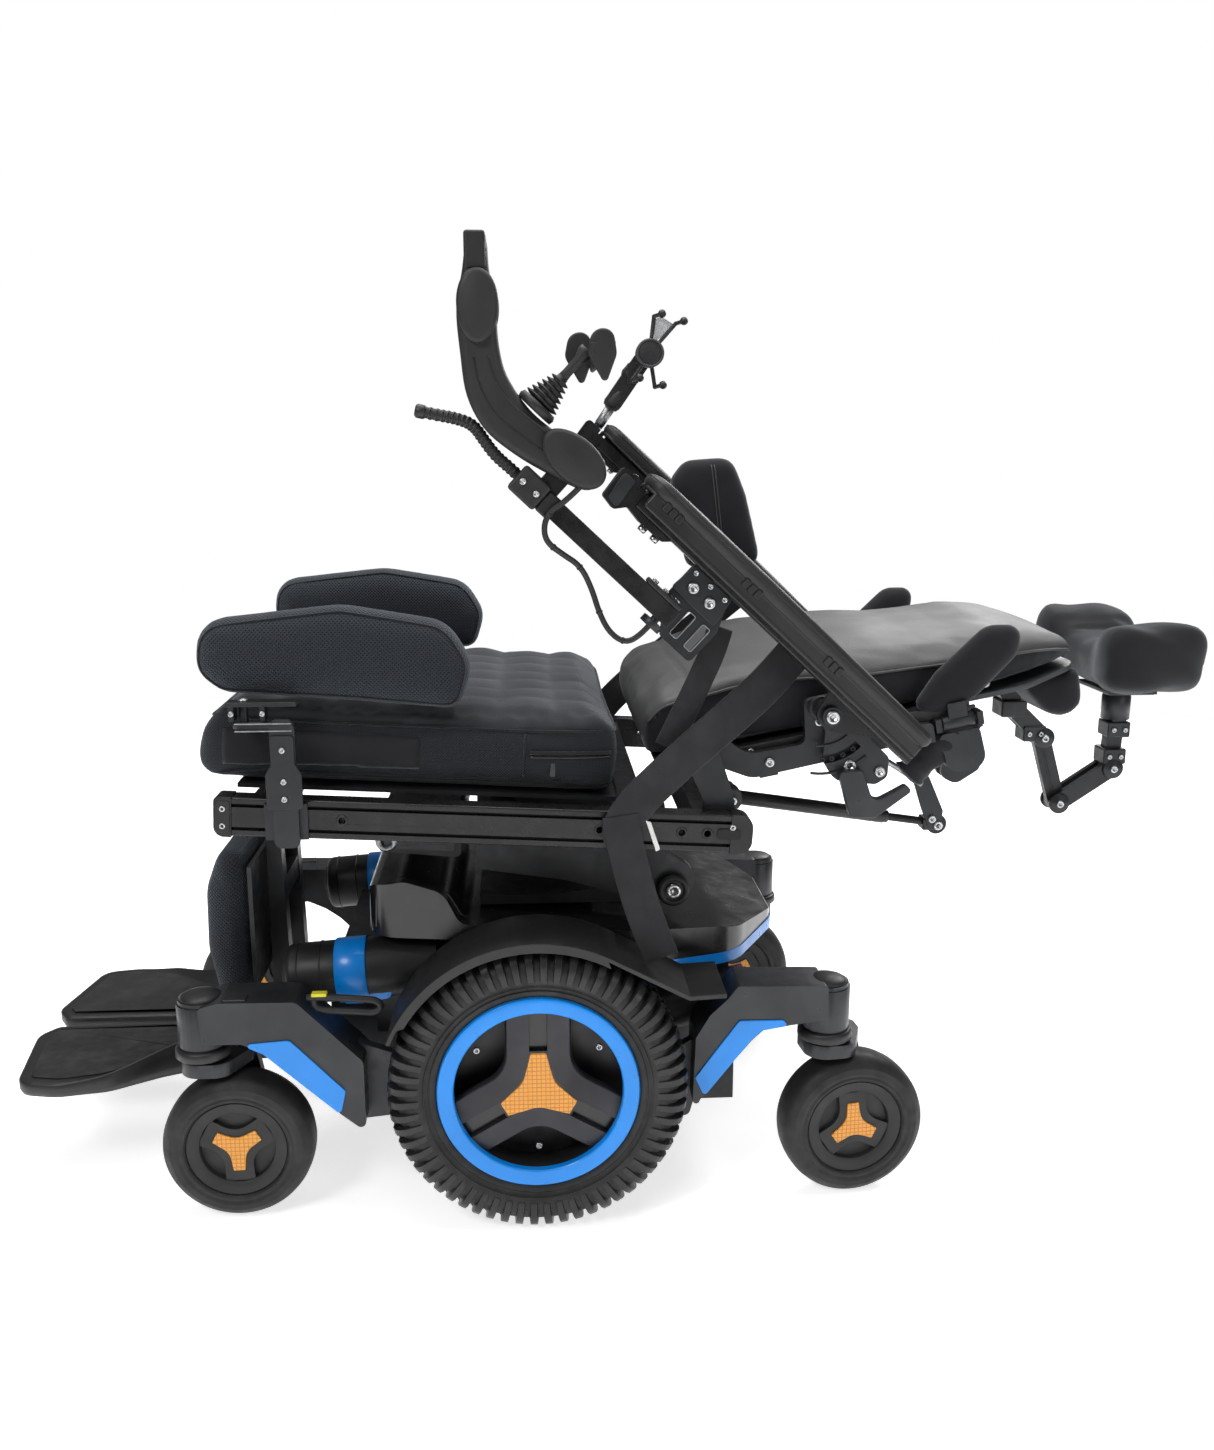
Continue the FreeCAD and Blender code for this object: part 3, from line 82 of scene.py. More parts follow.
# ---- materials ----
class Finish:
    """A principled material whose colour, gloss and relief come from procedural nodes."""

    def __init__(self, name, colour, rough, metal=0.0, specular=0.5):
        self.mat = bpy.data.materials.new(name)
        self.mat.use_nodes = True
        self.tree = self.mat.node_tree
        self.bsdf = self.tree.nodes["Principled BSDF"]
        self.bsdf.inputs["Base Color"].default_value = (*colour, 1)
        self.bsdf.inputs["Roughness"].default_value = rough
        self.bsdf.inputs["Metallic"].default_value = metal
        self.bsdf.inputs["Specular IOR Level"].default_value = specular
        self.colour = colour
        self.coords = self.new("ShaderNodeTexCoord")
        self.relief = None

    def new(self, kind, **settings):
        node = self.tree.nodes.new(kind)
        for key, value in settings.items():
            setattr(node, key, value)
        return node

    def link(self, out, into):
        self.tree.links.new(out, into)

    def math(self, operation, first, second=None):
        node = self.new("ShaderNodeMath", operation=operation)
        for index, value in enumerate((first, second)):
            if value is None:
                continue
            if isinstance(value, (int, float)):
                node.inputs[index].default_value = value
            else:
                self.link(value, node.inputs[index])
        return node.outputs[0]

    def stretch(self, sizes):
        """Object coordinates multiplied along each axis."""
        node = self.new("ShaderNodeMapping")
        node.inputs["Scale"].default_value = sizes
        self.link(self.coords.outputs["Object"], node.inputs["Vector"])
        return node.outputs[0]

    def noise(self, scale, detail=4.0, sizes=(1, 1, 1)):
        node = self.new("ShaderNodeTexNoise")
        node.inputs["Scale"].default_value = scale
        node.inputs["Detail"].default_value = detail
        self.link(self.stretch(sizes), node.inputs["Vector"])
        return node.outputs["Fac"]

    def cells(self, scale, sizes=(1, 1, 1), jitter=1.0, feature="F1"):
        node = self.new("ShaderNodeTexVoronoi", feature=feature)
        node.inputs["Scale"].default_value = scale
        node.inputs["Randomness"].default_value = jitter
        self.link(self.stretch(sizes), node.inputs["Vector"])
        return node.outputs["Distance"]

    def ranged(self, socket, low, high, into_low=0.0, into_high=1.0):
        node = self.new("ShaderNodeMapRange")
        for key, value in (("From Min", low), ("From Max", high), ("To Min", into_low),
                           ("To Max", into_high)):
            node.inputs[key].default_value = value
        self.link(socket, node.inputs["Value"])
        return node.outputs[0]

    def tint(self, socket, *stops):
        """Base colour from stops of (place, colour) along a value."""
        node = self.new("ShaderNodeValToRGB")
        ramp = node.color_ramp.elements
        while len(ramp) < len(stops):
            ramp.new(0.5)
        for element, (place, colour) in zip(ramp, stops):
            element.position = place
            element.color = (*colour, 1)
        self.link(socket, node.inputs[0])
        self.link(node.outputs[0], self.bsdf.inputs["Base Color"])
        return self

    def gloss(self, socket, low, high):
        self.link(self.ranged(socket, 0.3, 0.7, low, high), self.bsdf.inputs["Roughness"])
        return self

    def bump(self, height, depth, strength=1.0):
        """Adds relief of that depth in metres on top of what is there."""
        node = self.new("ShaderNodeBump")
        node.inputs["Distance"].default_value = depth
        node.inputs["Strength"].default_value = strength
        self.link(height, node.inputs["Height"])
        if self.relief is not None:
            self.link(self.relief, node.inputs["Normal"])
        self.relief = node.outputs[0]
        self.link(self.relief, self.bsdf.inputs["Normal"])
        return self

    def sheen(self, weight, rough=0.5, tint=(1, 1, 1)):
        self.bsdf.inputs["Sheen Weight"].default_value = weight
        self.bsdf.inputs["Sheen Roughness"].default_value = rough
        self.bsdf.inputs["Sheen Tint"].default_value = (*tint, 1)
        return self

    def coat(self, weight, rough=0.1):
        self.bsdf.inputs["Coat Weight"].default_value = weight
        self.bsdf.inputs["Coat Roughness"].default_value = rough
        return self

    def planar(self, pattern):
        """Blend pattern(u, v) of the three coordinate planes by which way the surface faces."""
        place = self.new("ShaderNodeSeparateXYZ")
        self.link(self.coords.outputs["Object"], place.inputs[0])
        facing = self.new("ShaderNodeSeparateXYZ")
        self.link(self.coords.outputs["Normal"], facing.inputs[0])
        x, y, z = place.outputs
        shares = [self.math("POWER", self.math("ABSOLUTE", facing.outputs[i]), 5.0)
                  for i in range(3)]
        total = self.math("ADD", self.math("ADD", shares[0], shares[1]), shares[2])
        values = (pattern(y, z), pattern(x, z), pattern(x, y))
        mixed = None
        for share, value in zip(shares, values):
            part = self.math("MULTIPLY", share, value)
            mixed = part if mixed is None else self.math("ADD", mixed, part)
        return self.math("DIVIDE", mixed, total)

    def wave(self, socket, pitch, shift=0.0):
        """Sine of a coordinate with that pitch in metres, from 0 to 1."""
        angle = self.math("MULTIPLY_ADD", socket, math.tau / pitch)
        angle.node.inputs[2].default_value = shift
        return self.ranged(self.math("SINE", angle), -1.0, 1.0)


def plastic(name, colour, rough, grain=0.00004, specular=0.5):
    made = Finish(name, colour, rough, 0.0, specular)
    cloud = made.noise(9.0, 6.0)
    light = tuple(min(1.0, c * 1.35 + 0.002) for c in colour)
    made.tint(cloud, (0.35, colour), (0.75, light))
    made.gloss(made.noise(35.0, 5.0), rough - 0.07, rough + 0.09)
    made.bump(made.noise(2600.0, 2.0), grain)
    return made


def painted_metal(name, colour, rough):
    """Powder coat: fine orange peel, a little dust and rubbed patches."""
    made = Finish(name, colour, rough, 0.25, 0.5)
    light = tuple(min(1.0, c * 1.5 + 0.004) for c in colour)
    made.tint(made.noise(14.0, 8.0), (0.4, colour), (0.72, light))
    made.gloss(made.noise(60.0, 5.0), rough - 0.09, rough + 0.10)
    made.bump(made.noise(1500.0, 2.0), 0.00005)
    made.bump(made.noise(420.0, 3.0), 0.00006)
    return made


def rubber(name, colour, rough):
    made = Finish(name, colour, rough, 0.0, 0.4)
    dusty = tuple(c * 1.8 + 0.006 for c in colour)
    made.tint(made.noise(24.0, 8.0), (0.42, colour), (0.8, dusty))
    made.gloss(made.noise(70.0, 4.0), rough - 0.12, rough + 0.12)
    made.bump(made.noise(900.0, 4.0), 0.00012)
    return made


def bright_metal(name, colour, rough):
    made = Finish(name, colour, rough, 1.0)
    shade = tuple(c * 0.7 for c in colour)
    made.tint(made.noise(160.0, 6.0), (0.3, shade), (0.7, colour))
    made.gloss(made.noise(240.0, 6.0), rough - 0.1, rough + 0.14)
    made.bump(made.noise(700.0, 5.0, (1, 8, 1)), 0.00003)
    return made


def spacer_mesh(name, colour, deep, pitch):
    """Knitted air mesh: staggered rows of small round holes between raised ribs; the holes are
    darkened with painted shade.
    """
    made = Finish(name, colour, 0.82, 0.0, 0.3)

    def holes(u, v):
        rows = made.wave(made.math("ADD", u, v), pitch)
        columns = made.wave(made.math("SUBTRACT", u, v), pitch)
        return made.math("MULTIPLY", rows, columns)

    web = made.planar(holes)
    # The holes take the dark second colour: painted shade in the holes.
    made.tint(web, (0.16, colour), (0.55, deep))
    made.bump(made.math("MULTIPLY", web, -1.0), pitch * 0.22)
    made.bump(made.noise(1900.0, 2.0), 0.00008)
    made.sheen(0.35, 0.45, (0.55, 0.62, 0.7))
    return made


def woven(name, colour, rough, pitch, sheen=0.3):
    made = Finish(name, colour, rough, 0.0, 0.3)

    def threads(u, v):
        return made.math("MAXIMUM", made.wave(u, pitch), made.wave(v, pitch, 1.3))

    cloth = made.planar(threads)
    fade = made.noise(11.0, 6.0)
    light = tuple(c * 1.7 + 0.003 for c in colour)
    made.tint(fade, (0.35, colour), (0.75, light))
    made.bump(cloth, pitch * 0.16)
    made.bump(made.noise(300.0, 4.0), 0.00012)
    made.sheen(sheen, 0.4, (0.8, 0.85, 0.9))
    return made


def vinyl(name, colour, rough):
    """Leather-like upholstery: pebbled grain with finer creases."""
    made = Finish(name, colour, rough, 0.0, 0.5)
    light = tuple(c * 1.5 + 0.004 for c in colour)
    made.tint(made.noise(8.0, 5.0), (0.35, colour), (0.75, light))
    made.bump(made.cells(640.0), 0.00022, 0.8)
    made.bump(made.noise(90.0, 5.0), 0.0003, 0.5)
    made.gloss(made.noise(26.0, 4.0), rough - 0.03, rough + 0.04)
    return made


def webbing(name, colour):
    made = Finish(name, colour, 0.62, 0.0, 0.35)

    def ribs(u, v):
        diagonal = made.wave(made.math("ADD", u, v), 0.0017)
        return made.math("MAXIMUM", diagonal, made.wave(made.math("SUBTRACT", u, v), 0.0017))

    made.bump(made.planar(ribs), 0.00028)
    light = tuple(c * 1.6 + 0.003 for c in colour)
    made.tint(made.noise(40.0, 5.0), (0.35, colour), (0.75, light))
    made.sheen(0.25, 0.4)
    return made


def reflector(name):
    """Amber prismatic lens: bright honeycomb cells with darker walls."""
    made = Finish(name, (0.80, 0.26, 0.01), 0.3, 0.0, 0.4)
    walls = made.cells(190.0, (1, 0.02, 1), 0.0, "DISTANCE_TO_EDGE")
    made.tint(walls, (0.02, (0.52, 0.17, 0.004)), (0.12, (0.86, 0.34, 0.012)))
    made.bump(made.ranged(walls, 0.0, 0.15), 0.0005)
    made.coat(0.8, 0.05)
    return made


def clear_red(name):
    made = Finish(name, (0.42, 0.06, 0.05), 0.15)
    made.bsdf.inputs["Transmission Weight"].default_value = 0.45
    made.tint(made.noise(60.0, 3.0), (0.4, (0.30, 0.03, 0.03)), (0.7, (0.62, 0.20, 0.16)))
    made.bump(made.noise(240.0, 3.0), 0.0002)
    return made


def glossy_paint(name, colour):
    made = Finish(name, colour, 0.32, 0.0, 0.5)
    deep = tuple(c * 0.86 for c in colour)
    made.tint(made.noise(12.0, 5.0), (0.35, deep), (0.7, colour))
    made.gloss(made.noise(55.0, 4.0), 0.26, 0.4)
    made.bump(made.noise(900.0, 2.0), 0.00003)
    made.coat(0.2, 0.12)
    return made


M = {
    "moulded": plastic("moulded_black", (0.013, 0.013, 0.014), 0.42),
    "gloss": plastic("gloss_black", (0.008, 0.008, 0.009), 0.2, 0.00002, 0.6),
    "soft_touch": plastic("soft_touch_black", (0.014, 0.014, 0.015), 0.56),
    "grey_plastic": plastic("grey_plastic", (0.042, 0.045, 0.05), 0.5),
    # Near-black for thin pieces that stand for slots, grooves and holes, as painted shade inside
    # them; the armrest link teeth use it too.
    "dark": plastic("recess_shade_black", (0.006, 0.006, 0.006), 0.7),
    "powder": painted_metal("powder_coat", (0.020, 0.021, 0.023), 0.42),
    "arm_grey": painted_metal("arm_casting", (0.024, 0.025, 0.028), 0.36),
    "anodised": painted_metal("anodised_rail", (0.012, 0.012, 0.013), 0.3),
    "tyre": rubber("tyre_rubber", (0.014, 0.014, 0.014), 0.58),
    "lug": rubber("tyre_lug", (0.016, 0.016, 0.016), 0.36),
    "bellows": rubber("bellows_rubber", (0.011, 0.011, 0.011), 0.5),
    "zinc": bright_metal("zinc_bolt", (0.66, 0.67, 0.68), 0.32),
    "steel": bright_metal("dull_steel", (0.42, 0.43, 0.44), 0.4),
    "blue": glossy_paint("accent_blue", (0.0, 0.28, 0.9)),
    "amber": reflector("amber_reflector"),
    "spoke": painted_metal("rim_spoke", (0.022, 0.022, 0.026), 0.38),
    "red_clear": clear_red("clear_red"),
    # The second colour of each mesh is painted shade for its holes.
    "mesh": spacer_mesh("spacer_mesh", (0.022, 0.027, 0.034), (0.002, 0.002, 0.003), 0.0046),
    "mesh_fine": spacer_mesh("cushion_mesh", (0.017, 0.019, 0.023), (0.003, 0.003, 0.004), 0.0034),
    "stretch": woven("stretch_cover", (0.015, 0.016, 0.019), 0.78, 0.0011),
    "fabric": woven("black_fabric", (0.010, 0.010, 0.012), 0.85, 0.0013),
    "vinyl": vinyl("grey_vinyl", (0.040, 0.041, 0.040), 0.52),
    "armpad": vinyl("armpad_skin", (0.011, 0.011, 0.012), 0.5),
    "webbing": webbing("strap_webbing", (0.014, 0.014, 0.016)),
    "tag": plastic("yellow_tag", (0.66, 0.60, 0.03), 0.5),
    "white_edge": woven("white_edge", (0.62, 0.62, 0.6), 0.8, 0.0012),
    "screen": plastic("screen_glass", (0.01, 0.011, 0.013), 0.12, 0.00001, 0.7),
    "pale": plastic("pale_web", (0.42, 0.43, 0.44), 0.35),
    "grip": rubber("grip_surface", (0.016, 0.016, 0.017), 0.8),
}


# ---- mesh helpers ----
def piece(name, verts, faces, finish, body, slot=None, smooth=True):
    mesh = bpy.data.meshes.new(name)
    mesh.from_pydata([tuple(v) for v in verts], [], faces)
    mesh.validate()
    mesh.materials.append(M[finish].mat)
    for polygon in mesh.polygons:
        polygon.use_smooth = smooth
    made = bpy.data.objects.new(name, mesh)
    bpy.context.scene.collection.objects.link(made)
    tidy_normals(made)
    if body:
        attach(made, body)
    return made


def tidy_normals(made):
    work = bmesh.new()
    work.from_mesh(made.data)
    bmesh.ops.remove_doubles(work, verts=work.verts, dist=1e-6)
    bmesh.ops.recalc_face_normals(work, faces=work.faces)
    work.to_mesh(made.data)
    work.free()


def bevel(made, width, segments=2, angle=32.0):
    edge = made.modifiers.new("edges", "BEVEL")
    edge.width = width
    edge.segments = segments
    edge.limit_method = "ANGLE"
    edge.angle_limit = math.radians(angle)
    edge.harden_normals = True
    return made


def joined(name, parts, body):
    """Several (verts, faces, finish) lists as one piece with one material per finish."""
    verts, faces, marks, finishes = [], [], [], []
    for part_verts, part_faces, finish in parts:
        start = len(verts)
        if finish not in finishes:
            finishes.append(finish)
        verts += [tuple(v) for v in part_verts]
        faces += [[start + i for i in face] for face in part_faces]
        marks += [finishes.index(finish)] * len(part_faces)
    mesh = bpy.data.meshes.new(name)
    mesh.from_pydata(verts, [], faces)
    for finish in finishes:
        mesh.materials.append(M[finish].mat)
    for polygon, mark in zip(mesh.polygons, marks):
        polygon.material_index = mark
        polygon.use_smooth = True
    made = bpy.data.objects.new(name, mesh)
    bpy.context.scene.collection.objects.link(made)
    tidy_normals(made)
    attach(made, body)
    return made


def rounded(points, steps=5):
    """Closed outline from (p, q) or (p, q, corner radius), with each corner as an arc."""
    count = len(points)
    flat = [Vector((point[0], point[1])) for point in points]
    made = []
    for i, point in enumerate(points):
        corner, before, after = flat[i], flat[i - 1], flat[(i + 1) % count]
        radius = point[2] if len(point) > 2 else 0.0
        into, out = (before - corner), (after - corner)
        half = into.angle(out) / 2
        if radius <= 0 or half > 1.56:
            made.append(corner)
            continue
        room = 0.49 * min(into.length, out.length)
        back = min(radius / math.tan(half), room)
        radius = back * math.tan(half)
        into.normalize()
        out.normalize()
        centre = corner + (into + out).normalized() * (radius / math.sin(half))
        first, last = corner + into * back - centre, corner + out * back - centre
        turn = first.angle_signed(last)
        for step in range(steps + 1):
            share = -turn * step / steps
            swung = Vector((first.x * math.cos(share) - first.y * math.sin(share),
                            first.x * math.sin(share) + first.y * math.cos(share)))
            made.append(centre + swung)
    return made


def slab(outline, near, far, place):
    """Closed outline swept between two depths: place(p, q, depth) gives the point."""
    count = len(outline)
    verts = [place(p.x, p.y, near) for p in outline] + [place(p.x, p.y, far) for p in outline]
    faces = [list(range(count))[::-1], list(range(count, 2 * count))]
    faces += [[i, (i + 1) % count, count + (i + 1) % count, count + i] for i in range(count)]
    return verts, faces


def xz(place):
    """Outline in a frame's XZ plane, depth along Y."""
    return lambda p, q, depth: place(p, depth, q)


def xy(place):
    return lambda p, q, depth: place(p, q, depth)


def spin(profile, centre, axis=(0, 1, 0), segments=64, closed=True):
    """Revolve (radius, offset) pairs in millimetres about an axis through centre."""
    axis = Vector(axis).normalized()
    side = axis.orthogonal().normalized()
    other = axis.cross(side)
    verts, faces, count = [], [], len(profile)
    for s in range(segments):
        angle = math.tau * s / segments
        out = side * math.cos(angle) + other * math.sin(angle)
        verts += [centre + (out * r + axis * h) * MM for r, h in profile]
    for s in range(segments):
        here, there = s * count, ((s + 1) % segments) * count
        for i in range(count if closed else count - 1):
            j = (i + 1) % count
            faces.append([here + i, here + j, there + j, there + i])
    return verts, faces


def rod(start, end, radius, segments=20, edge=0.6):
    """Round bar with slightly broken ends; radius and edge in millimetres."""
    run = end - start
    length = run.length / MM
    edge = min(edge, radius * 0.4, length * 0.3)
    profile = [(0.01, 0), (radius - edge, 0), (radius, edge), (radius, length - edge),
               (radius - edge, length), (0.01, length)]
    return spin(profile, start, run, segments, closed=False)


def brick(low, high, place):
    corners = [place(x, y, z) for x in (low[0], high[0]) for y in (low[1], high[1])
               for z in (low[2], high[2])]
    faces = [[0, 1, 3, 2], [4, 6, 7, 5], [0, 4, 5, 1], [2, 3, 7, 6], [0, 2, 6, 4], [1, 5, 7, 3]]
    return corners, faces


def socket_bolt(centre, axis, radius=5.0, height=4.0):
    """Hexagon socket screw head standing on a face: domed rim with a six-sided recess."""
    axis = Vector(axis).normalized()
    side = axis.orthogonal().normalized()
    other = axis.cross(side)
    rings = [(radius, 0.0, 24), (radius, height * 0.7, 24), (radius * 0.86, height, 24),
             (radius * 0.52, height, 24), (radius * 0.46, height * 0.35, 24)]
    verts, faces = [], []
    for r, h, count in rings:
        for s in range(count):
            angle = math.tau * s / count
            reach = r
            if r < radius * 0.6:
                lobe = math.cos(math.pi / 6) / math.cos((angle % (math.pi / 3)) - math.pi / 6)
                reach = r * lobe
            out = side * math.cos(angle) + other * math.sin(angle)
            verts.append(centre + (out * reach + axis * h) * MM)
    for k in range(len(rings) - 1):
        for s in range(24):
            t = (s + 1) % 24
            faces.append([k * 24 + s, k * 24 + t, (k + 1) * 24 + t, (k + 1) * 24 + s])
    faces.append([4 * 24 + s for s in range(24)])
    faces.append([s for s in range(24)][::-1])
    return verts, faces


def sweep(points, section, up=(0, 1, 0), closed_ends=True):
    """Sweep a closed (across, along up) section in millimetres through points."""
    verts, faces, count = [], [], len(section)
    for i, point in enumerate(points):
        ahead = points[min(i + 1, len(points) - 1)] - points[max(i - 1, 0)]
        ahead.normalize()
        across = ahead.cross(Vector(up)).normalized()
        lift = across.cross(ahead).normalized()
        verts += [point + (across * a + lift * b) * MM for a, b in section]
    for i in range(len(points) - 1):
        for j in range(count):
            k = (j + 1) % count
            faces.append([i * count + j, i * count + k, (i + 1) * count + k, (i + 1) * count + j])
    if closed_ends:
        faces.append(list(range(count))[::-1])
        faces.append([(len(points) - 1) * count + j for j in range(count)])
    return verts, faces


def smooth_line(points, per=8):
    """Catmull-Rom curve through points."""
    made = []
    last = len(points) - 1
    for i in range(last):
        p0, p1 = points[max(i - 1, 0)], points[i]
        p2, p3 = points[i + 1], points[min(i + 2, last)]
        for step in range(per):
            t = step / per
            made.append(0.5 * (2 * p1 + (p2 - p0) * t + (2 * p0 - 5 * p1 + 4 * p2 - p3) * t * t
                               + (3 * p1 - p0 - 3 * p2 + p3) * t ** 3))
    made.append(points[last].copy())
    return made


def circle(radius, count=12):
    return [(radius * math.cos(math.tau * i / count), radius * math.sin(math.tau * i / count))
            for i in range(count)]


def paint(node, finish, edge=0.0):
    """A design node keeps its shape and takes a finish; edge rounds its corners."""
    made = NODE[node]
    made.data.materials.clear()
    made.data.materials.append(M[finish].mat)
    if edge:
        weld = made.modifiers.new("weld", "WELD")
        weld.merge_threshold = 1e-5
        bevel(made, edge, 2, 35.0)
    return made


# ---- wheels ----
DRIVE_R, DRIVE_Y = 177.5, 284.0
CARCASS = ((118, -29), (126, -33.5), (131, -32.6), (139, -36.4), (152, -35.6), (163, -29.5),
           (169.5, -20), (171.5, -8), (171.5, 8), (169.5, 20), (163, 29.5), (152, 35.6),
           (139, 36.4), (131, 32.6), (126, 33.5), (118, 29), (112, 20), (112, -20))
LUG_OUTER = ((139.5, -36.6), (143, -37.9), (158, -37.9), (167, -34.6), (173.5, -28.6),
             (177.2, -20.5), (177.2, -14.5))
LUG_INNER = ((139.5, -35), (143, -34), (158, -31), (165, -26), (169, -20), (170, -16),
             (170.5, -13.5))
LUGS, LUG_HALF_TURN, LUG_SKEW = 60, 1.7, -0.9


def wheel_point(radius, angle, offset, centre):
    turn = math.radians(angle)
    return centre + Vector((radius * math.sin(turn), offset, radius * math.cos(turn))) * MM


def lug(centre, angle, side):
    """One shoulder block that wraps from the side wall to the crown, narrower at its top."""
    verts, count = [], len(LUG_OUTER)
    for profile, share in ((LUG_INNER, 1.15), (LUG_OUTER, 0.85)):
        for edge in (-1, 1):
            for i, (radius, offset) in enumerate(profile):
                turn = edge * LUG_HALF_TURN * share + LUG_SKEW * i / (count - 1)
                verts.append(wheel_point(radius, angle + turn, offset * side, centre))
    faces = []
    for i in range(count - 1):
        for a, b in ((0, 2), (2, 3), (3, 1)):
            faces.append([a * count + i, a * count + i + 1, b * count + i + 1, b * count + i])
    faces.append([0, 2 * count, 3 * count, count])
    end = count - 1
    faces.append([end, count + end, 3 * count + end, 2 * count + end])
    return verts, faces


def crown_block(centre, angle, side):
    """Slanted centre block beside the shoulder lugs."""
    corners = ((-2.3, -12.5), (0.9, -1.6), (2.9, -1.6), (0.2, -12.5))
    verts = [wheel_point(radius, angle + turn * (1.0 if radius < 172 else 0.92), offset * side,
                         centre)
             for radius in (170.5, 177.3) for turn, offset in corners]
    faces = [[4, 5, 6, 7]] + [[i, (i + 1) % 4, 4 + (i + 1) % 4, 4 + i] for i in range(4)]
    return verts, faces


def lobed(tip, half, waist, waist_round, tip_round=2.0, lead=0.0):
    """Three-armed outline with hollow flanks; lead turns it, in degrees."""
    corners = []
    for arm in range(3):
        angle = math.radians(90 + lead - 120 * arm)
        ahead = Vector((math.cos(angle), math.sin(angle)))
        across = Vector((ahead.y, -ahead.x))
        corners.append((*(ahead * tip - across * half), tip_round))
        corners.append((*(ahead * tip + across * half), tip_round))
        between = math.radians(30 + lead - 120 * arm)
        corners.append((waist * math.cos(between), waist * math.sin(between), waist_round))
    return rounded(corners, 6)


def disc_place(centre, side):
    """Outline on a wheel's outer face; depth is measured outwards from the wheel's middle."""
    def place(p, q, depth):
        return centre + Vector((p, side * depth, q)) * MM
    return place


def chevron(arm, groove, width, reach, place, depth):
    """V-shaped blade between two neighbouring arms, sloping back from the groove."""
    verts, rows = [], []
    first = math.radians(90 - 120 * arm)
    second = math.radians(90 - 120 * (arm + 1))
    middle = math.radians(30 - 120 * arm)
    bisector = Vector((math.cos(middle), math.sin(middle)))
    for layer in (0, 1):
        for offset, drop in ((groove, 0.0), (groove + width * 0.5, 2.2),
                             (groove + width * 0.93, 4.6), (groove + width, 7.5)):
            row = []
            long = math.sqrt(reach * reach - offset * offset)
            start = polar2(first, long, -offset)
            stop = polar2(second, long, offset)
            elbow = bisector * (offset / math.sin(math.radians(60)))
            line = [(start.x, start.y)]
            line += [(p.x, p.y) for p in fillet(start, elbow, stop, 10 + offset * 0.9, 8)]
            line.append((stop.x, stop.y))
            for p, q in line:
                row.append(len(verts))
                verts.append(place(p, q, depth - drop - layer * 9.0))
            rows.append(row)
    faces = []
    for layer in (0, 4):
        for k in range(3):
            for i in range(len(rows[0]) - 1):
                faces.append([rows[layer + k][i], rows[layer + k][i + 1],
                              rows[layer + k + 1][i + 1], rows[layer + k + 1][i]])
    for k in (0, 3):
        for i in range(len(rows[0]) - 1):
            faces.append([rows[k][i], rows[k][i + 1], rows[4 + k][i + 1], rows[4 + k][i]])
    for i in (0, len(rows[0]) - 1):
        for k in range(3):
            faces.append([rows[k][i], rows[k + 1][i], rows[5 + k][i], rows[4 + k][i]])
    return verts, faces


def polar2(angle, along, aside):
    ahead = Vector((math.cos(angle), math.sin(angle)))
    return ahead * along + Vector((-ahead.y, ahead.x)) * aside


def fillet(before, corner, after, radius, steps):
    into, out = before - corner, after - corner
    half = into.angle(out) / 2
    back = min(radius / math.tan(half), 0.45 * min(into.length, out.length))
    start, end = corner + into.normalized() * back, corner + out.normalized() * back
    made = []
    for i in range(steps + 1):
        t = i / steps
        made.append(start * (1 - t) ** 2 + corner * 2 * t * (1 - t) + end * t * t)
    return made


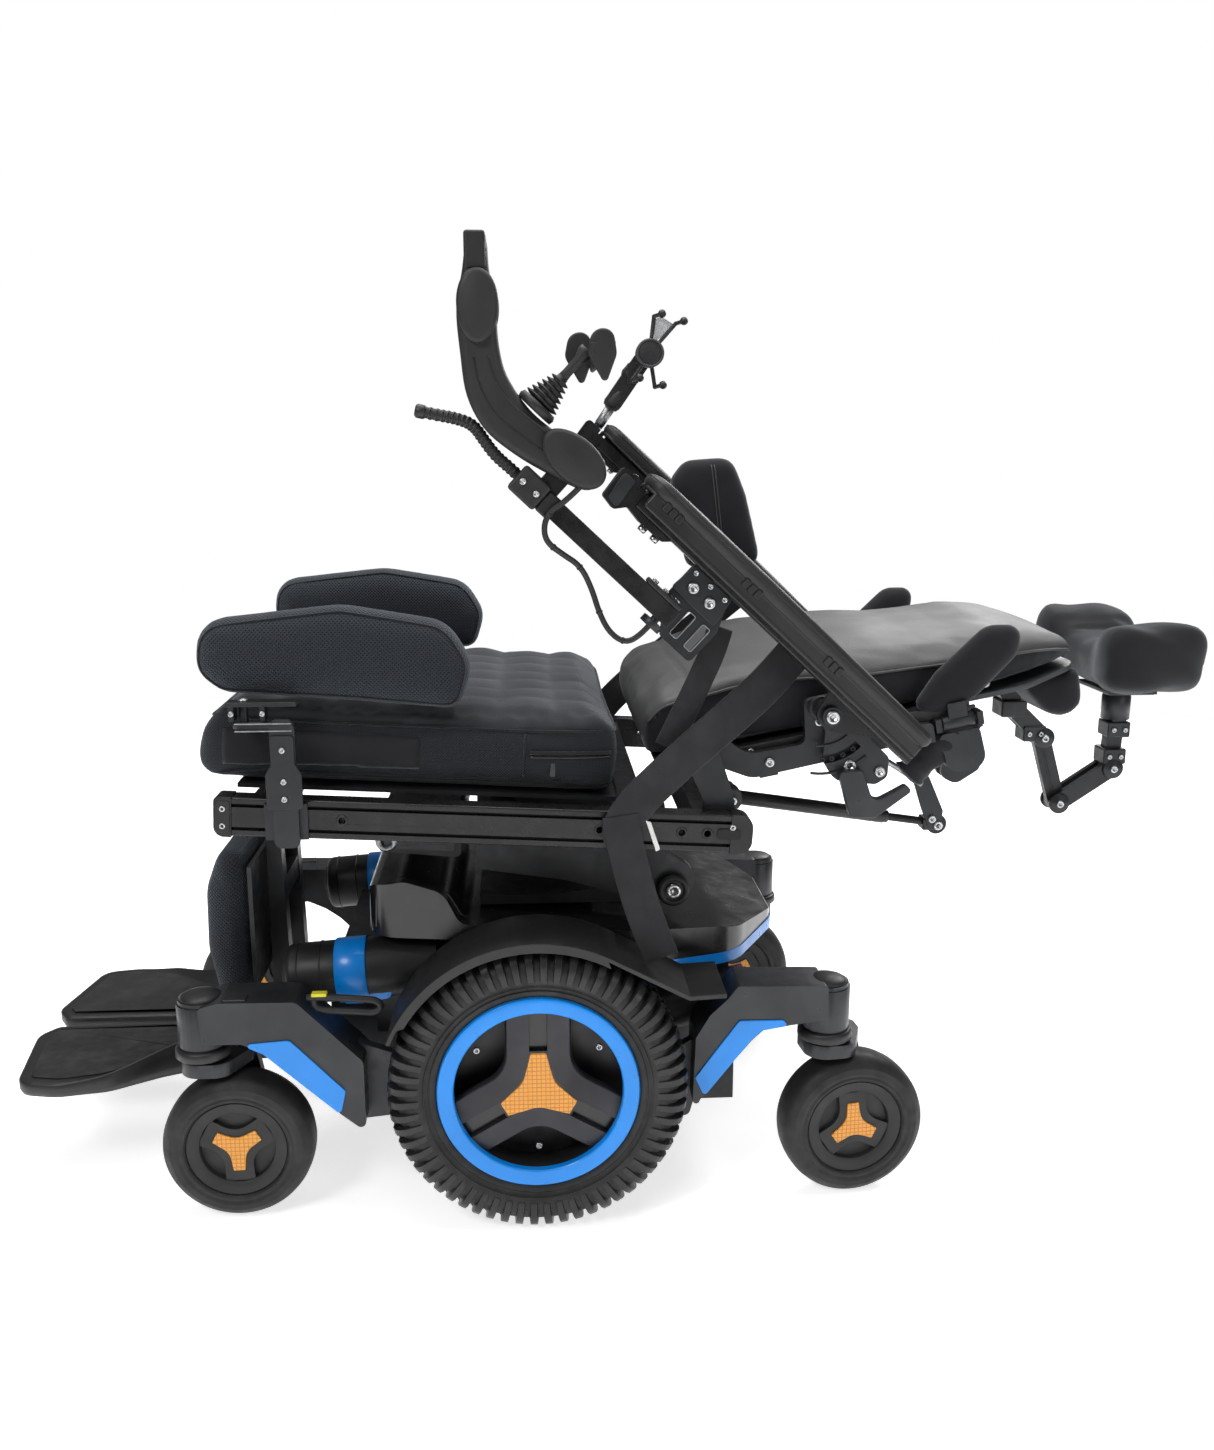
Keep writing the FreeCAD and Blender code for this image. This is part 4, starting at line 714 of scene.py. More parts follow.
def drive_wheel(name, side):
    centre = at(0, side * DRIVE_Y, DRIVE_R)
    body = "drive_wheel_" + name
    parts = [(*spin(CARCASS, centre, (0, 1, 0), 120), "tyre")]
    for ring in ((134.0, 36.2), (128.0, 33.4)):
        bead = [(ring[0] + a, (ring[1] + b) * side) for a, b in circle(0.9, 6)]
        parts.append((*spin(bead, centre, (0, 1, 0), 120), "tyre"))
    for k in range(LUGS):
        angle = 360 * k / LUGS
        for flank in (-1, 1):
            shift = 0 if flank == side else 180 / LUGS
            parts.append((*lug(centre, angle + shift, flank), "lug"))
            parts.append((*crown_block(centre, angle + shift, flank), "lug"))
    tyre = joined("tyre_" + name, parts, body)
    bevel(tyre, 0.0007, 1, 40)
    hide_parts("drive_tyre_" + name)

    place = disc_place(centre, side)
    ring = [(99, 24.5), (99.6, 31.5), (101, 33), (114.5, 34.6), (118, 33.6), (119.3, 30.8),
            (119.3, 28.8), (101, 24)]
    trim = turned("rim_ring_" + name, [(r, side * d) for r, d in ring], centre, (0, 1, 0), 128,
                  "blue", body, "rim_plastic")
    bevel(trim, 0.0006)
    barrel = [(101, 24), (119, 28), (119.4, -29), (116, -29), (108, -24), (103, -6), (100, 12)]
    parts = [(*spin([(r, side * d) for r, d in barrel], centre, (0, 1, 0), 96), "moulded")]
    hub = [(0.01, 12), (36, 12), (38, 10), (38, -30), (0.01, -34)]
    parts.append((*spin([(r, side * d) for r, d in hub], centre, (0, 1, 0), 48, False), "moulded"))
    web = [(30, -20), (112, -20), (112, -23), (30, -23)]
    parts.append((*spin([(r, side * d) for r, d in web], centre, (0, 1, 0), 96), "moulded"))
    rim = joined("rim_" + name, parts, body)
    bevel(rim, 0.0006)
    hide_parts("drive_rim_" + name)
    blades = [(*chevron(arm, 10.5, 28, 101, place, 25.5), "spoke") for arm in range(3)]
    spokes = joined("spokes_" + name, blades, body)
    bevel(spokes, 0.0007, 2, 40)
    quads = [[polar2(math.radians(90 - 120 * arm), along, aside) for along, aside in
              ((10, -11), (101, -11), (101, 11), (10, 11))] for arm in range(3)]
    parts = [(*slab(quad, 8, 17.5, place), "gloss") for quad in quads]
    parts.append((*slab(lobed(49.5, 11.6, 24.0, 30, 3), 10, 24.6, place), "gloss"))
    grooves = joined("spoke_grooves_" + name, parts, body)
    bevel(grooves, 0.0005)
    lens = piece("reflector_" + name, *slab(lobed(47.0, 9.2, 21.0, 30), 20, 26.2, place), "amber",
                 body)
    bevel(lens, 0.0012, 3)
    spots = [polar2(math.radians(30 - 120 * arm), 84, 0) for arm in range(3)]
    bolts("hub_screws_" + name, [place(spot.x, spot.y, 2) for spot in spots], (0, side, 0), 4.2, 3,
          body)


# name, stem x, side, heading and how far its reflector has turned, in degrees
CASTERS = (("front_left", -399.0, -1, 0.0, 182), ("front_right", -399.0, 1, 180.0, 0),
           ("rear_left", 354.0, -1, 6.0, 4), ("rear_right", 354.0, 1, 180.0, 60))
CASTER_R, CASTER_TRAIL, STEM_Y = 91.0, 36.0, 245.0


def caster_frame(stem_x, side, heading):
    """Placing of a caster part drawn about its stem for the left side."""
    turn = math.radians(heading)

    def place(x, y, z):
        y = y if side < 0 else -y
        px = x * math.cos(turn) - y * math.sin(turn)
        py = x * math.sin(turn) + y * math.cos(turn)
        return at(stem_x + px, side * STEM_Y + py, z)
    return place


def caster_wheel(name, stem_x, side, heading, lead):
    place = caster_frame(stem_x, side, heading)
    body = "caster_" + name
    centre = place(CASTER_TRAIL, 0, CASTER_R)
    axis = (place(CASTER_TRAIL, -1, CASTER_R) - centre).normalized()
    tyre = [(61, 24), (63, 26.6), (65.5, 27), (68, 26), (72, 27.4), (79, 26.6), (85, 22.5),
            (86.6, 20.4), (88.4, 18.2), (90.3, 11), (90.9, 4), (90.9, -4), (90.3, -11),
            (88.4, -18.2), (86.6, -20.4), (85, -22.5), (79, -26.6), (72, -27.4), (68, -26),
            (65.5, -27), (63, -26.6), (61, -24)]
    made = turned("caster_tyre_" + name, tyre, centre, axis, 96, "tyre", body, "tyre_rubber")
    bevel(made, 0.0006, 1, 25)
    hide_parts("caster_wheel_" + name)
    hub = [(0.01, 12), (43.6, 12), (44.4, 12.6), (45.2, 19.4), (46.5, 20.6), (53, 22.2),
           (59.4, 23.6), (60.4, 22.4), (61.6, 22.4), (61.6, -22), (50, -20), (30, -14),
           (14, -18), (0.01, -18)]
    parts = [(*spin(hub, centre, axis, 72, False), "soft_touch")]

    def face(p, q, depth):
        return place(CASTER_TRAIL + p, -depth, CASTER_R + q)
    parts.append((*slab(lobed(44.0, 18.0, 19.0, 26, 3, lead), 10, 18.4, face), "soft_touch"))
    bevel(joined("caster_hub_" + name, parts, body), 0.0007)
    lens = slab(lobed(30.0, 7.2, 11.5, 22, 1.6, lead), 15, 20.2, face)
    bevel(piece("caster_reflector_" + name, *lens, "amber", body), 0.0009, 3)
    spot = polar2(math.radians(200 + lead), 27, 0)
    # A thin dark disc over the hole: painted shade in the hole.
    hole = rod(face(spot.x, spot.y, 17), face(spot.x, spot.y, 18.8), 3.0, 20, 0.3)
    joined("caster_hole_" + name, [(*hole, "dark")], body)


def all_wheels():
    for name, side in SIDES:
        drive_wheel(name, side)
    for caster in CASTERS:
        caster_wheel(*caster)


# ---- soft goods ----
PADS = []
CLOTH_FRAMES, CLOTH_STIFFNESS = 16, 30


def inset(outline, distance):
    """Outline moved inwards along its own normals."""
    count = len(outline)
    area = sum(outline[i - 1].x * outline[i].y - outline[i].x * outline[i - 1].y
               for i in range(count))
    sign = 1 if area > 0 else -1
    made = []
    for i in range(count):
        run = outline[(i + 1) % count] - outline[i - 1]
        if run.length < 1e-9:
            run = Vector((1, 0))
        normal = Vector((-run.y, run.x)).normalized() * sign
        made.append(outline[i] + normal * distance)
    return made


def cage(outline, near, far, edge, place, steps=4):
    """Outline swept from near to far with its two rims rounded off by edge."""
    layers = []
    way = 1 if far > near else -1
    for i in range(steps + 1):
        angle = math.pi / 2 * i / steps
        layers.append((edge * (1 - math.sin(angle)), near + way * edge * (1 - math.cos(angle))))
    layers += [(back, near + far - depth) for back, depth in reversed(layers)]
    count = len(outline)
    verts, faces = [], []
    for back, depth in layers:
        verts += [place(p.x, p.y, depth) for p in inset(outline, back)]
    for k in range(len(layers) - 1):
        for i in range(count):
            j = (i + 1) % count
            faces.append([k * count + i, k * count + j, (k + 1) * count + j, (k + 1) * count + i])
    faces.append(list(range(count))[::-1])
    faces.append([(len(layers) - 1) * count + i for i in range(count)])
    return verts, faces


def remeshed(name, verts, faces, finish, voxel):
    """Even mesh over a closed cage."""
    rough = piece(name + "_cage", verts, faces, finish, None)
    remesh = rough.modifiers.new("even", "REMESH")
    remesh.mode = "VOXEL"
    remesh.voxel_size = voxel
    evaluated = rough.evaluated_get(bpy.context.evaluated_depsgraph_get())
    mesh = bpy.data.meshes.new_from_object(evaluated)
    mesh.name = name
    bpy.data.objects.remove(rough)
    if not mesh.materials:
        mesh.materials.append(M[finish].mat)
    for polygon in mesh.polygons:
        polygon.use_smooth = True
    made = bpy.data.objects.new(name, mesh)
    bpy.context.scene.collection.objects.link(made)
    return made


def read_points(made):
    flat = np.zeros(len(made.data.vertices) * 3)
    made.data.vertices.foreach_get("co", flat)
    return flat.reshape(-1, 3)


def write_points(made, points):
    made.data.vertices.foreach_set("co", np.ascontiguousarray(points).ravel())
    made.data.update()


def local_axes(place):
    """Origin and the three unit directions, per millimetre, of a local frame."""
    origin = place(0, 0, 0)
    return origin, [np.array((place(*step) - origin) / MM) for step in
                    ((1, 0, 0), (0, 1, 0), (0, 0, 1))]


def reshape(made, place, change):
    """Move a pad's points by change(p, q, depth arrays in mm), which gives three shifts."""
    origin, axes = local_axes(place)
    points = read_points(made)
    offset = (points - np.array(origin)) / MM
    local = [offset @ axis for axis in axes]
    for shift, axis in zip(change(*local), axes):
        if shift is not None:
            points += np.outer(shift * MM, axis)
    write_points(made, points)


def face_centres(made, place):
    """Centres of a pad's faces in a local frame: one array in mm for each direction."""
    origin, axes = local_axes(place)
    flat = np.zeros(len(made.data.polygons) * 3)
    made.data.polygons.foreach_get("center", flat)
    offset = (flat.reshape(-1, 3) - np.array(origin)) / MM
    return [offset @ axis for axis in axes]


def relax(made, rounds, factor=0.5):
    work = bmesh.new()
    work.from_mesh(made.data)
    for _ in range(rounds):
        bmesh.ops.smooth_vert(work, verts=work.verts, factor=factor, use_axis_x=True,
                              use_axis_y=True, use_axis_z=True)
    work.to_mesh(made.data)
    work.free()


def stuffed(name, verts, faces, finish, body, nodes, voxel=0.005, pressure=3.0, cap=0.006):
    """A padded piece that joins the shared cloth simulation."""
    made = remeshed(name, verts, faces, finish, voxel)
    relax(made, 3)
    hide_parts(*nodes)
    PADS.append((made, body, pressure, cap))
    return made


def simulate_pads():
    """Blow every cover up a little as cloth, all at once, then cap and keep the movement."""
    scene = bpy.context.scene
    rests = []
    for made, _, pressure, _ in PADS:
        rests.append(read_points(made))
        cloth = made.modifiers.new("cover", "CLOTH")
        cloth.settings.use_pressure = True
        cloth.settings.uniform_pressure_force = pressure
        cloth.settings.tension_stiffness = CLOTH_STIFFNESS
        cloth.settings.compression_stiffness = CLOTH_STIFFNESS
        cloth.settings.bending_stiffness = 2.0
        cloth.settings.effector_weights.gravity = 0
        cloth.point_cache.frame_start, cloth.point_cache.frame_end = 1, CLOTH_FRAMES
    for number in range(1, CLOTH_FRAMES + 1):
        scene.frame_set(number)
    graph = bpy.context.evaluated_depsgraph_get()
    for (made, _, _, cap), rest in zip(PADS, rests):
        evaluated = made.evaluated_get(graph)
        flat = np.zeros(len(evaluated.data.vertices) * 3)
        evaluated.data.vertices.foreach_get("co", flat)
        moved = flat.reshape(-1, 3) - rest
        length = np.linalg.norm(moved, axis=1, keepdims=True)
        moved *= np.minimum(1.0, cap / np.maximum(length, 1e-9))
        made.modifiers.remove(made.modifiers["cover"])
        write_points(made, rest + moved)
        relax(made, 1)
    scene.frame_set(1)
    for made, body, _, _ in PADS:
        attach(made, body)


def edge_distance(outline, p, q):
    """Distance in mm from each (p, q) to the outline, for a crown that falls to its rim."""
    best = np.full(len(p), 1e9)
    count = len(outline)
    for i in range(count):
        a, b = outline[i - 1], outline[i]
        run = b - a
        square = max(run.length_squared, 1e-9)
        share = np.clip(((p - a.x) * run.x + (q - a.y) * run.y) / square, 0, 1)
        best = np.minimum(best, np.hypot(p - a.x - share * run.x, q - a.y - share * run.y))
    return best


def crowned(made, place, outline, near, far, height, reach):
    """Swell both faces of a flat pad towards its middle; axes are (p, depth, q)."""
    middle = (near + far) / 2

    def change(p, depth, q):
        rim = np.clip(edge_distance(outline, p, q) / reach, 0, 1)
        swell = height * rim * rim * (3 - 2 * rim)
        return None, swell * np.clip((depth - middle) / (abs(far - near) / 2), -1, 1), None
    reshape(made, place, change)


def seam(name, made, line, finish, body, radius=1.1, sink=0.35, closed=True):
    """Piping that follows a line of points laid onto the finished surface of a pad."""
    tree = BVHTree.FromObject(made, bpy.context.evaluated_depsgraph_get())
    laid = []
    for point in line:
        spot, normal, _, _ = tree.find_nearest(point)
        laid.append(spot + normal * radius * MM * (1 - sink))
    for _ in range(2):
        last = len(laid) - 1
        laid = [(laid[i - 1] + 2 * laid[i] + laid[(i + 1) % len(laid)]) / 4
                if closed or 0 < i < last else laid[i] for i in range(len(laid))]
    if closed:
        laid = laid + laid[:2]
    verts, faces = sweep(laid, circle(radius, 7), (0.03, 0.02, 1) if abs(laid[0].y - laid[-1].y)
                         > 0.2 else (0, 1, 0.02), not closed)
    return piece(name, verts, faces, finish, body)


KNEE_OUTLINE = ((-381, 668, 36), (-374, 727, 36), (-215, 744, 70), (-96, 724, 46), (-68, 676, 36),
                (-84, 622, 20), (-200, 634, 60), (-350, 645, 26))
CALF_OUTLINE = ((-392, 428, 24), (-366, 428, 14), (-358, 400, 10), (-358, 250, 10),
                (-366, 226, 12), (-398, 226, 22), (-412, 300, 60), (-410, 380, 40))


def knee_pads():
    made = {}
    outline = rounded(KNEE_OUTLINE, 7)
    for name, side in SIDES:
        near, far = side * 264.0, side * 210.0
        verts, faces = cage(outline, near, far, 24, xz(at), 5)
        pad = stuffed("knee_pad_cover_" + name, verts, faces, "mesh", "knee_support_" + name,
                      ("knee_pad_" + name,), 0.005, 2.5, 0.004)
        crowned(pad, at, outline, min(near, far), max(near, far), 5.0, 42)
        made[name] = (pad, outline, near, far)
    return made


def knee_seams(pads):
    for name, side in SIDES:
        pad, outline, near, far = pads[name]
        for label, depth in (("outer", near - side * 5), ("inner", far + side * 5)):
            line = [at(p.x, depth, p.y) for p in inset(outline, 3.0)]
            seam(f"knee_seam_{label}_{name}", pad, line, "fabric", "knee_support_" + name, 1.3)


def calf_pads():
    parts_verts, parts_faces = [], []
    outline = rounded(CALF_OUTLINE, 5)
    for _, side in SIDES:
        verts, faces = cage(outline, side * 166, side * 16, 25, xz(at), 5)
        start = len(parts_verts)
        parts_verts += verts
        parts_faces += [[start + i for i in face] for face in faces]
    return stuffed("calf_pad_covers", parts_verts, parts_faces, "mesh", "legrest", ("calf_pads",),
                   0.005, 2.5, 0.004)


CUSHION_SIDE = ((-402, 514, 24), (-392, 570, 40), (-366, 604, 30), (82, 605, 24), (88, 560, 40),
                (84, 514, 14))
CUSHION_HALF = 246.0
CELL = 64.0
TOP_SEAM, BASE_SEAM = 588, 521


def cushion_relief(x, y, z):
    """Air cells that show through the stretch top, and gathers where it is drawn in."""
    top = np.clip((z - 588) / 14, 0, 1)
    edge = np.minimum(np.minimum(CUSHION_HALF - np.abs(y), 88 - x), x + 392)
    inside = np.clip(edge / 46, 0, 1)
    cells = np.abs(np.cos(math.pi * (x + 20) / CELL) * np.cos(math.pi * y / CELL)) ** 0.8
    lift = top * (inside * (6.0 * cells - 2.0) - (1 - inside) * 3.0)
    rim = np.exp(-((edge - 12) / 20) ** 2) * top
    along = np.where(88 - x < CUSHION_HALF - np.abs(y), y, x)
    gathers = np.sin(along / 4.3 + 1.7 * np.sin(along / 19.0)) * 1.7 * rim
    fold = np.sin(x / 23.0 + 2.0 * np.sin(y / 61.0)) * np.sin(y / 83.0 + x / 140.0) * 1.5 * top
    wall = np.clip((np.abs(y) - 236) / 8, 0, 1) * np.clip((596 - z) / 12, 0, 1)
    belly = wall * (3.0 * np.sin(math.pi * np.clip((z - 514) / 84, 0, 1))
                    + 1.2 * np.sin(x / 31.0 + z / 17.0) - 2.5)
    return None, belly * np.sign(y), lift + gathers + fold


def seat_cushion():
    outline = rounded(CUSHION_SIDE, 6)
    verts, faces = cage(outline, -CUSHION_HALF + 1, CUSHION_HALF - 1, 20, xz(seat_at), 5)
    return stuffed("seat_cushion_cover", verts, faces, "mesh_fine", "seat", ("seat_cushion",),
                   0.0055, 1.6, 0.004)


def cushion_details(made):
    reshape(made, seat_at, cushion_relief)
    made.data.materials.append(M["stretch"].mat)
    made.data.materials.append(M["fabric"].mat)
    height = face_centres(made, seat_at)[2]
    marks = np.where(height > TOP_SEAM, 1, np.where(height < BASE_SEAM, 2, 0)).astype(np.int32)
    made.data.polygons.foreach_set("material_index", marks)
    half = CUSHION_HALF + 2
    rim = rounded([(-392, -half, 50), (90, -half, 30), (90, half, 30), (-392, half, 50)], 8)
    line = resample(rim, 180)
    for label, z, radius in (("top", TOP_SEAM, 1.5), ("base", BASE_SEAM, 1.8)):
        seam(f"cushion_{label}_seam", made, [seat_at(p.x, p.y, z) for p in line], "fabric", "seat",
             radius)
    for tag, side in SIDES:
        laid_panel(f"cushion_patch_{tag}", made, side, (-366, -142), (529, 577), "fabric")
        y = side * (half + 4)
        stitch = [seat_at(-22, y, z) for z in np.linspace(524, 586, 12)]
        seam(f"cushion_side_seam_{tag}", made, stitch, "fabric", "seat", 1.3, 0.35, False)
        for label, z, finish, radius, sink in (("zip", 556, "gloss", 1.9, 0.2),
                                               ("zip_flap", 561, "fabric", 2.4, 0.45)):
            line = [seat_at(x, y, z + 0.03 * (x + 16)) for x in np.linspace(-16, 84, 22)]
            seam(f"cushion_{label}_{tag}", made, line, finish, "seat", radius, sink, False)
        pull = slab(rounded([(8, 533, 2), (15, 533, 2), (14, 555, 2), (9, 555, 2)], 3),
                    side * (CUSHION_HALF + 2.5), side * (CUSHION_HALF + 4.2), xz(seat_at))
        bevel(piece(f"zip_pull_{tag}", *pull, "gloss", "seat"), 0.0004)


def resample(points, count):
    """Closed flat outline divided evenly."""
    loop = [Vector((p.x, p.y, 0)) for p in (*points, points[0])]
    lengths = [0.0]
    for a, b in zip(loop, loop[1:]):
        lengths.append(lengths[-1] + (b - a).length)
    made, k = [], 0
    for i in range(count):
        want = lengths[-1] * i / count
        while lengths[k + 1] < want:
            k += 1
        share = (want - lengths[k]) / max(lengths[k + 1] - lengths[k], 1e-9)
        made.append(loop[k].lerp(loop[k + 1], share))
    return made


def laid_panel(name, made, side, span, rise, finish):
    """Thin sewn patch that follows the side of the cushion."""
    tree = BVHTree.FromObject(made, bpy.context.evaluated_depsgraph_get())
    columns, rows = 34, 9
    verts, faces = [], []
    for layer in (1.5, 0.2):
        for j in range(rows):
            for i in range(columns):
                x = span[0] + (span[1] - span[0]) * i / (columns - 1)
                z = rise[0] + (rise[1] - rise[0]) * j / (rows - 1)
                spot, normal, _, _ = tree.find_nearest(seat_at(x, side * (CUSHION_HALF + 6), z))
                rim = min(i, columns - 1 - i, j * 2, (rows - 1 - j) * 2)
                ripple = 0.5 * math.sin(x / 9 + z / 7) if rim > 1 else 0.0
                lift = layer if rim > 0 or layer < 1 else 0.5
                verts.append(spot + normal * (lift + ripple * (layer > 1)) * MM)
    grid = columns * rows
    for layer in (0, grid):
        for j in range(rows - 1):
            for i in range(columns - 1):
                a = layer + j * columns + i
                faces.append([a, a + 1, a + columns + 1, a + columns])
    border = list(range(columns)) + [j * columns + columns - 1 for j in range(1, rows)]
    border += [(rows - 1) * columns + i for i in range(columns - 2, -1, -1)]
    border += [j * columns for j in range(rows - 2, 0, -1)]
    for a, b in zip(border, border[1:] + border[:1]):
        faces.append([a, b, b + grid, a + grid])
    return piece(name, verts, faces, finish, "seat")


# u, half width, seam height, crown height of the back cushion
BACK_STATIONS = ((-56, 186, 4, 26), (-48, 198, 26, 48), (-26, 204, 42, 60), (20, 207, 46, 68),
                 (70, 209, 50, 79), (130, 212, 46, 82), (195, 213, 36, 76), (250, 205, 30, 68),
                 (300, 195, 24, 58), (350, 191, 20, 53), (400, 186, 16, 52), (445, 168, 10, 40),
                 (482, 146, 0, 20), (504, 124, -8, 4), (511, 110, -12, -6))
BACK_LOW = -22.0


def back_ring(u, half, rim, crown):
    """Cross-section of the back cushion: flat underside, upright side, crowned top."""
    ring = []
    for i in range(17):
        share = -1 + 2 * i / 16
        y = half * math.sin(share * math.pi / 2)
        bolster = 5.0 * math.exp(-((abs(y) / half - 0.82) / 0.14) ** 2)
        ring.append(back_at(u, y, rim + (crown - rim) * (1 - abs(y / half) ** 2.4) + bolster))
    low = BACK_LOW
    wall = ((half + 1, rim - 8), (half, (rim + low) / 2), (half - 4, low + 6), (half - 16, low))
    ring += [back_at(u, y, min(v, rim - 1)) for y, v in wall]
    ring += [back_at(u, (half - 16) * (0.6 - 0.3 * i), low) for i in range(5)]
    ring += [back_at(u, -y, min(v, rim - 1)) for y, v in reversed(wall)]
    return ring


def loft(rings):
    count = len(rings[0])
    verts = [point for ring in rings for point in ring]
    faces = []
    for k in range(len(rings) - 1):
        for i in range(count):
            j = (i + 1) % count
            faces.append([k * count + i, k * count + j, (k + 1) * count + j, (k + 1) * count + i])
    faces.append(list(range(count))[::-1])
    faces.append([(len(rings) - 1) * count + i for i in range(count)])
    return verts, faces


def back_relief(u, y, v):
    """Soft creases where the cover is drawn over the lumbar and shoulder curves."""
    top = np.clip((v - 8) / 12, 0, 1)
    crease = np.exp(-((u - 4 - 0.05 * np.abs(y)) / 3.0) ** 2) * 2.2
    wander = np.sin(u / 37.0 + np.sin(y / 51.0) * 1.6) * np.sin(y / 67.0 + 0.6) * 0.9
    pull = np.sin(y / 6.0 + u / 15.0) * np.exp(-((np.abs(y) - 188) / 13) ** 2) * 0.8
    return None, None, top * (wander + pull - crease)


def back_cushion():
    verts, faces = loft([back_ring(*station) for station in BACK_STATIONS])
    return stuffed("back_cushion_cover", verts, faces, "vinyl", "backrest", ("back_cushion",),
                   0.006, 1.2, 0.003)


LOBE_OUTLINE = ((440, -36, 4), (444, -58, 12), (466, -90, 26), (492, -97, 24), (511, -82, 18),
                (513, -36, 6))


def back_lobes():
    """Half-round pouches under the top end of the back."""
    outline = rounded(LOBE_OUTLINE, 5)
    for name, side in SIDES:
        verts, faces = cage(outline, side * 132, side * 42, 12, xz(back_at), 4)
        stuffed("back_lobe_" + name, verts, faces, "fabric", "backrest", (),
                0.005, 2.0, 0.003)


def back_details(made):
    reshape(made, back_at, back_relief)
    made.data.materials.append(M["fabric"].mat)
    run, _, height = face_centres(made, back_at)
    seams = np.interp(run, [s[0] for s in BACK_STATIONS], [s[2] for s in BACK_STATIONS])
    marks = (height < seams - 3).astype(np.int32)
    made.data.polygons.foreach_set("material_index", marks)
    for name, side in SIDES:
        line = [back_at(u, side * (half + 3), rim - 2) for u, half, rim, _ in BACK_STATIONS[1:-1]]
        line = smooth_line(line, 6)
        seam("back_seam_" + name, made, line, "vinyl", "backrest", 1.7, 0.35, False)


def headrest_ring(y, low_x, high_x, low_z, high_z, corner):
    outline = rounded([(low_x, low_z, corner), (low_x + 4, high_z, corner),
                       (high_x, high_z - 4, corner), (high_x - 3, low_z + 6, corner)], 4)
    return [at(p.x, y, p.y) for p in outline]


def headrest_pad():
    half = ((139, 758, 842, 626, 678, 18), (132, 740, 858, 612, 692, 24),
            (118, 732, 868, 604, 697, 28), (98, 731, 872, 602, 696, 28),
            (80, 734, 870, 602, 690, 24), (66, 738, 866, 604, 676, 20),
            (46, 742, 860, 606, 664, 18), (0, 744, 858, 607, 660, 18))
    rings = [headrest_ring(-y, *section) for y, *section in half]
    rings += [headrest_ring(y, *section) for y, *section in reversed(half[:-1])]
    verts, faces = loft(rings)
    return stuffed("headrest_cover", verts, faces, "fabric", "headrest", ("headrest_pad",),
                   0.005, 2.2, 0.005)


def headrest_relief(x, y, z):
    """Loose cover: folds that run round the wings."""
    wing = np.clip((np.abs(y) - 55) / 30, 0, 1)
    folds = np.sin(x / 13.0 + z / 9.0 + 2.0 * np.sin(np.abs(y) / 33.0)) * 1.8
    slack = np.sin(x / 31.0 - z / 17.0 + y / 29.0) * 1.6
    lift = wing * folds + slack
    return lift * 0.3, np.sign(y) * wing * folds * 0.6, lift * np.sign(z - 645)


LATERAL_OUTLINE = ((262, -22, 15), (300, 18, 34), (368, 62, 24), (412, 54, 24), (402, 20, 24),
                   (344, -22, 34), (296, -33, 20))


def laterals():
    outline = rounded(LATERAL_OUTLINE, 6)
    for name, side in SIDES:
        near, far = side * 229.0, side * 206.0
        verts, faces = cage(outline, near, far, 11, xz(back_at), 4)
        pad = stuffed("lateral_cover_" + name, verts, faces, "fabric",
                      "lateral_support_" + name, ("lateral_" + name,), 0.0035,
                      3.0, 0.003)
        crowned(pad, back_at, outline, min(near, far), max(near, far), 3.0, 20)


RIGHT_ARM_SHIFT = (50, 42)


def armrest_place(side):
    """Armrest coordinates; the right armrest sits further forward and higher."""
    shift_a, shift_b = (0, 0) if side < 0 else RIGHT_ARM_SHIFT
    return lambda a, y, b: arm_at(a + shift_a, y, b + shift_b)


ARM_PLAN = ((-337, -251, 26), (-337, -329, 26), (98, -329, 16), (98, -251, 16))


def armrest_pads():
    made = {}
    for name, side in SIDES:
        def place(p, q, depth, side=side, on_arm=armrest_place(side)):
            return on_arm(-p, -side * q, depth)

        outline = rounded(ARM_PLAN, 6)
        verts, faces = cage(outline, 61.5, 41.3, 8, place, 4)
        pad = stuffed("armrest_skin_" + name, verts, faces, "armpad", "armrest_" + name,
                      ("armrest_pad_" + name,), 0.0035, 1.5, 0.002)
        made[name] = (pad, place, outline)
    return made


def armrest_details(pads):
    for name, (pad, place, outline) in pads.items():
        def dish(p, q, depth):
            middle = 1 - np.clip(np.abs(q + 290) / 34, 0, 1) ** 2
            return None, None, -2.2 * middle * np.clip((depth - 52) / 8, 0, 1)

        reshape(pad, place, dish)
        line = [place(p.x, p.y, 55) for p in resample(inset(outline, -1.0), 150)]
        seam("armrest_parting_" + name, pad, line, "moulded", "armrest_" + name, 0.9, 0.5)
        base = cage(inset(outline, 4), 44.5, 40.4, 1.2, place, 2)
        bevel(piece("armrest_base_" + name, *base, "moulded", "armrest_" + name), 0.0005)


ELBOW_OUTLINE = ((204, 868, 30), (228, 900, 26), (298, 905, 26), (320, 852, 60), (347, 744, 20),
                 (232, 742, 18), (226, 800, 40))


def elbow_pad():
    outline = rounded(ELBOW_OUTLINE, 6)
    verts, faces = cage(outline, 197, 235.6, 14, xz(at), 4)
    pad = stuffed("elbow_pad_cover", verts, faces, "fabric", "armrest_right", ("elbow_pad",),
                  0.0045, 2.5, 0.003)
    crowned(pad, at, outline, 197, 235.6, 4.0, 36)
    return pad


def elbow_seams(pad):
    for shift in (0, 4.5):
        line = [at(268 + shift + 0.12 * (880 - z), 190, z) for z in np.linspace(752, 898, 24)]
        seam(f"elbow_seam_{int(shift)}", pad, line, "vinyl", "armrest_right", 0.8, 0.4, False)


STRAP_THICKNESS = 1.5


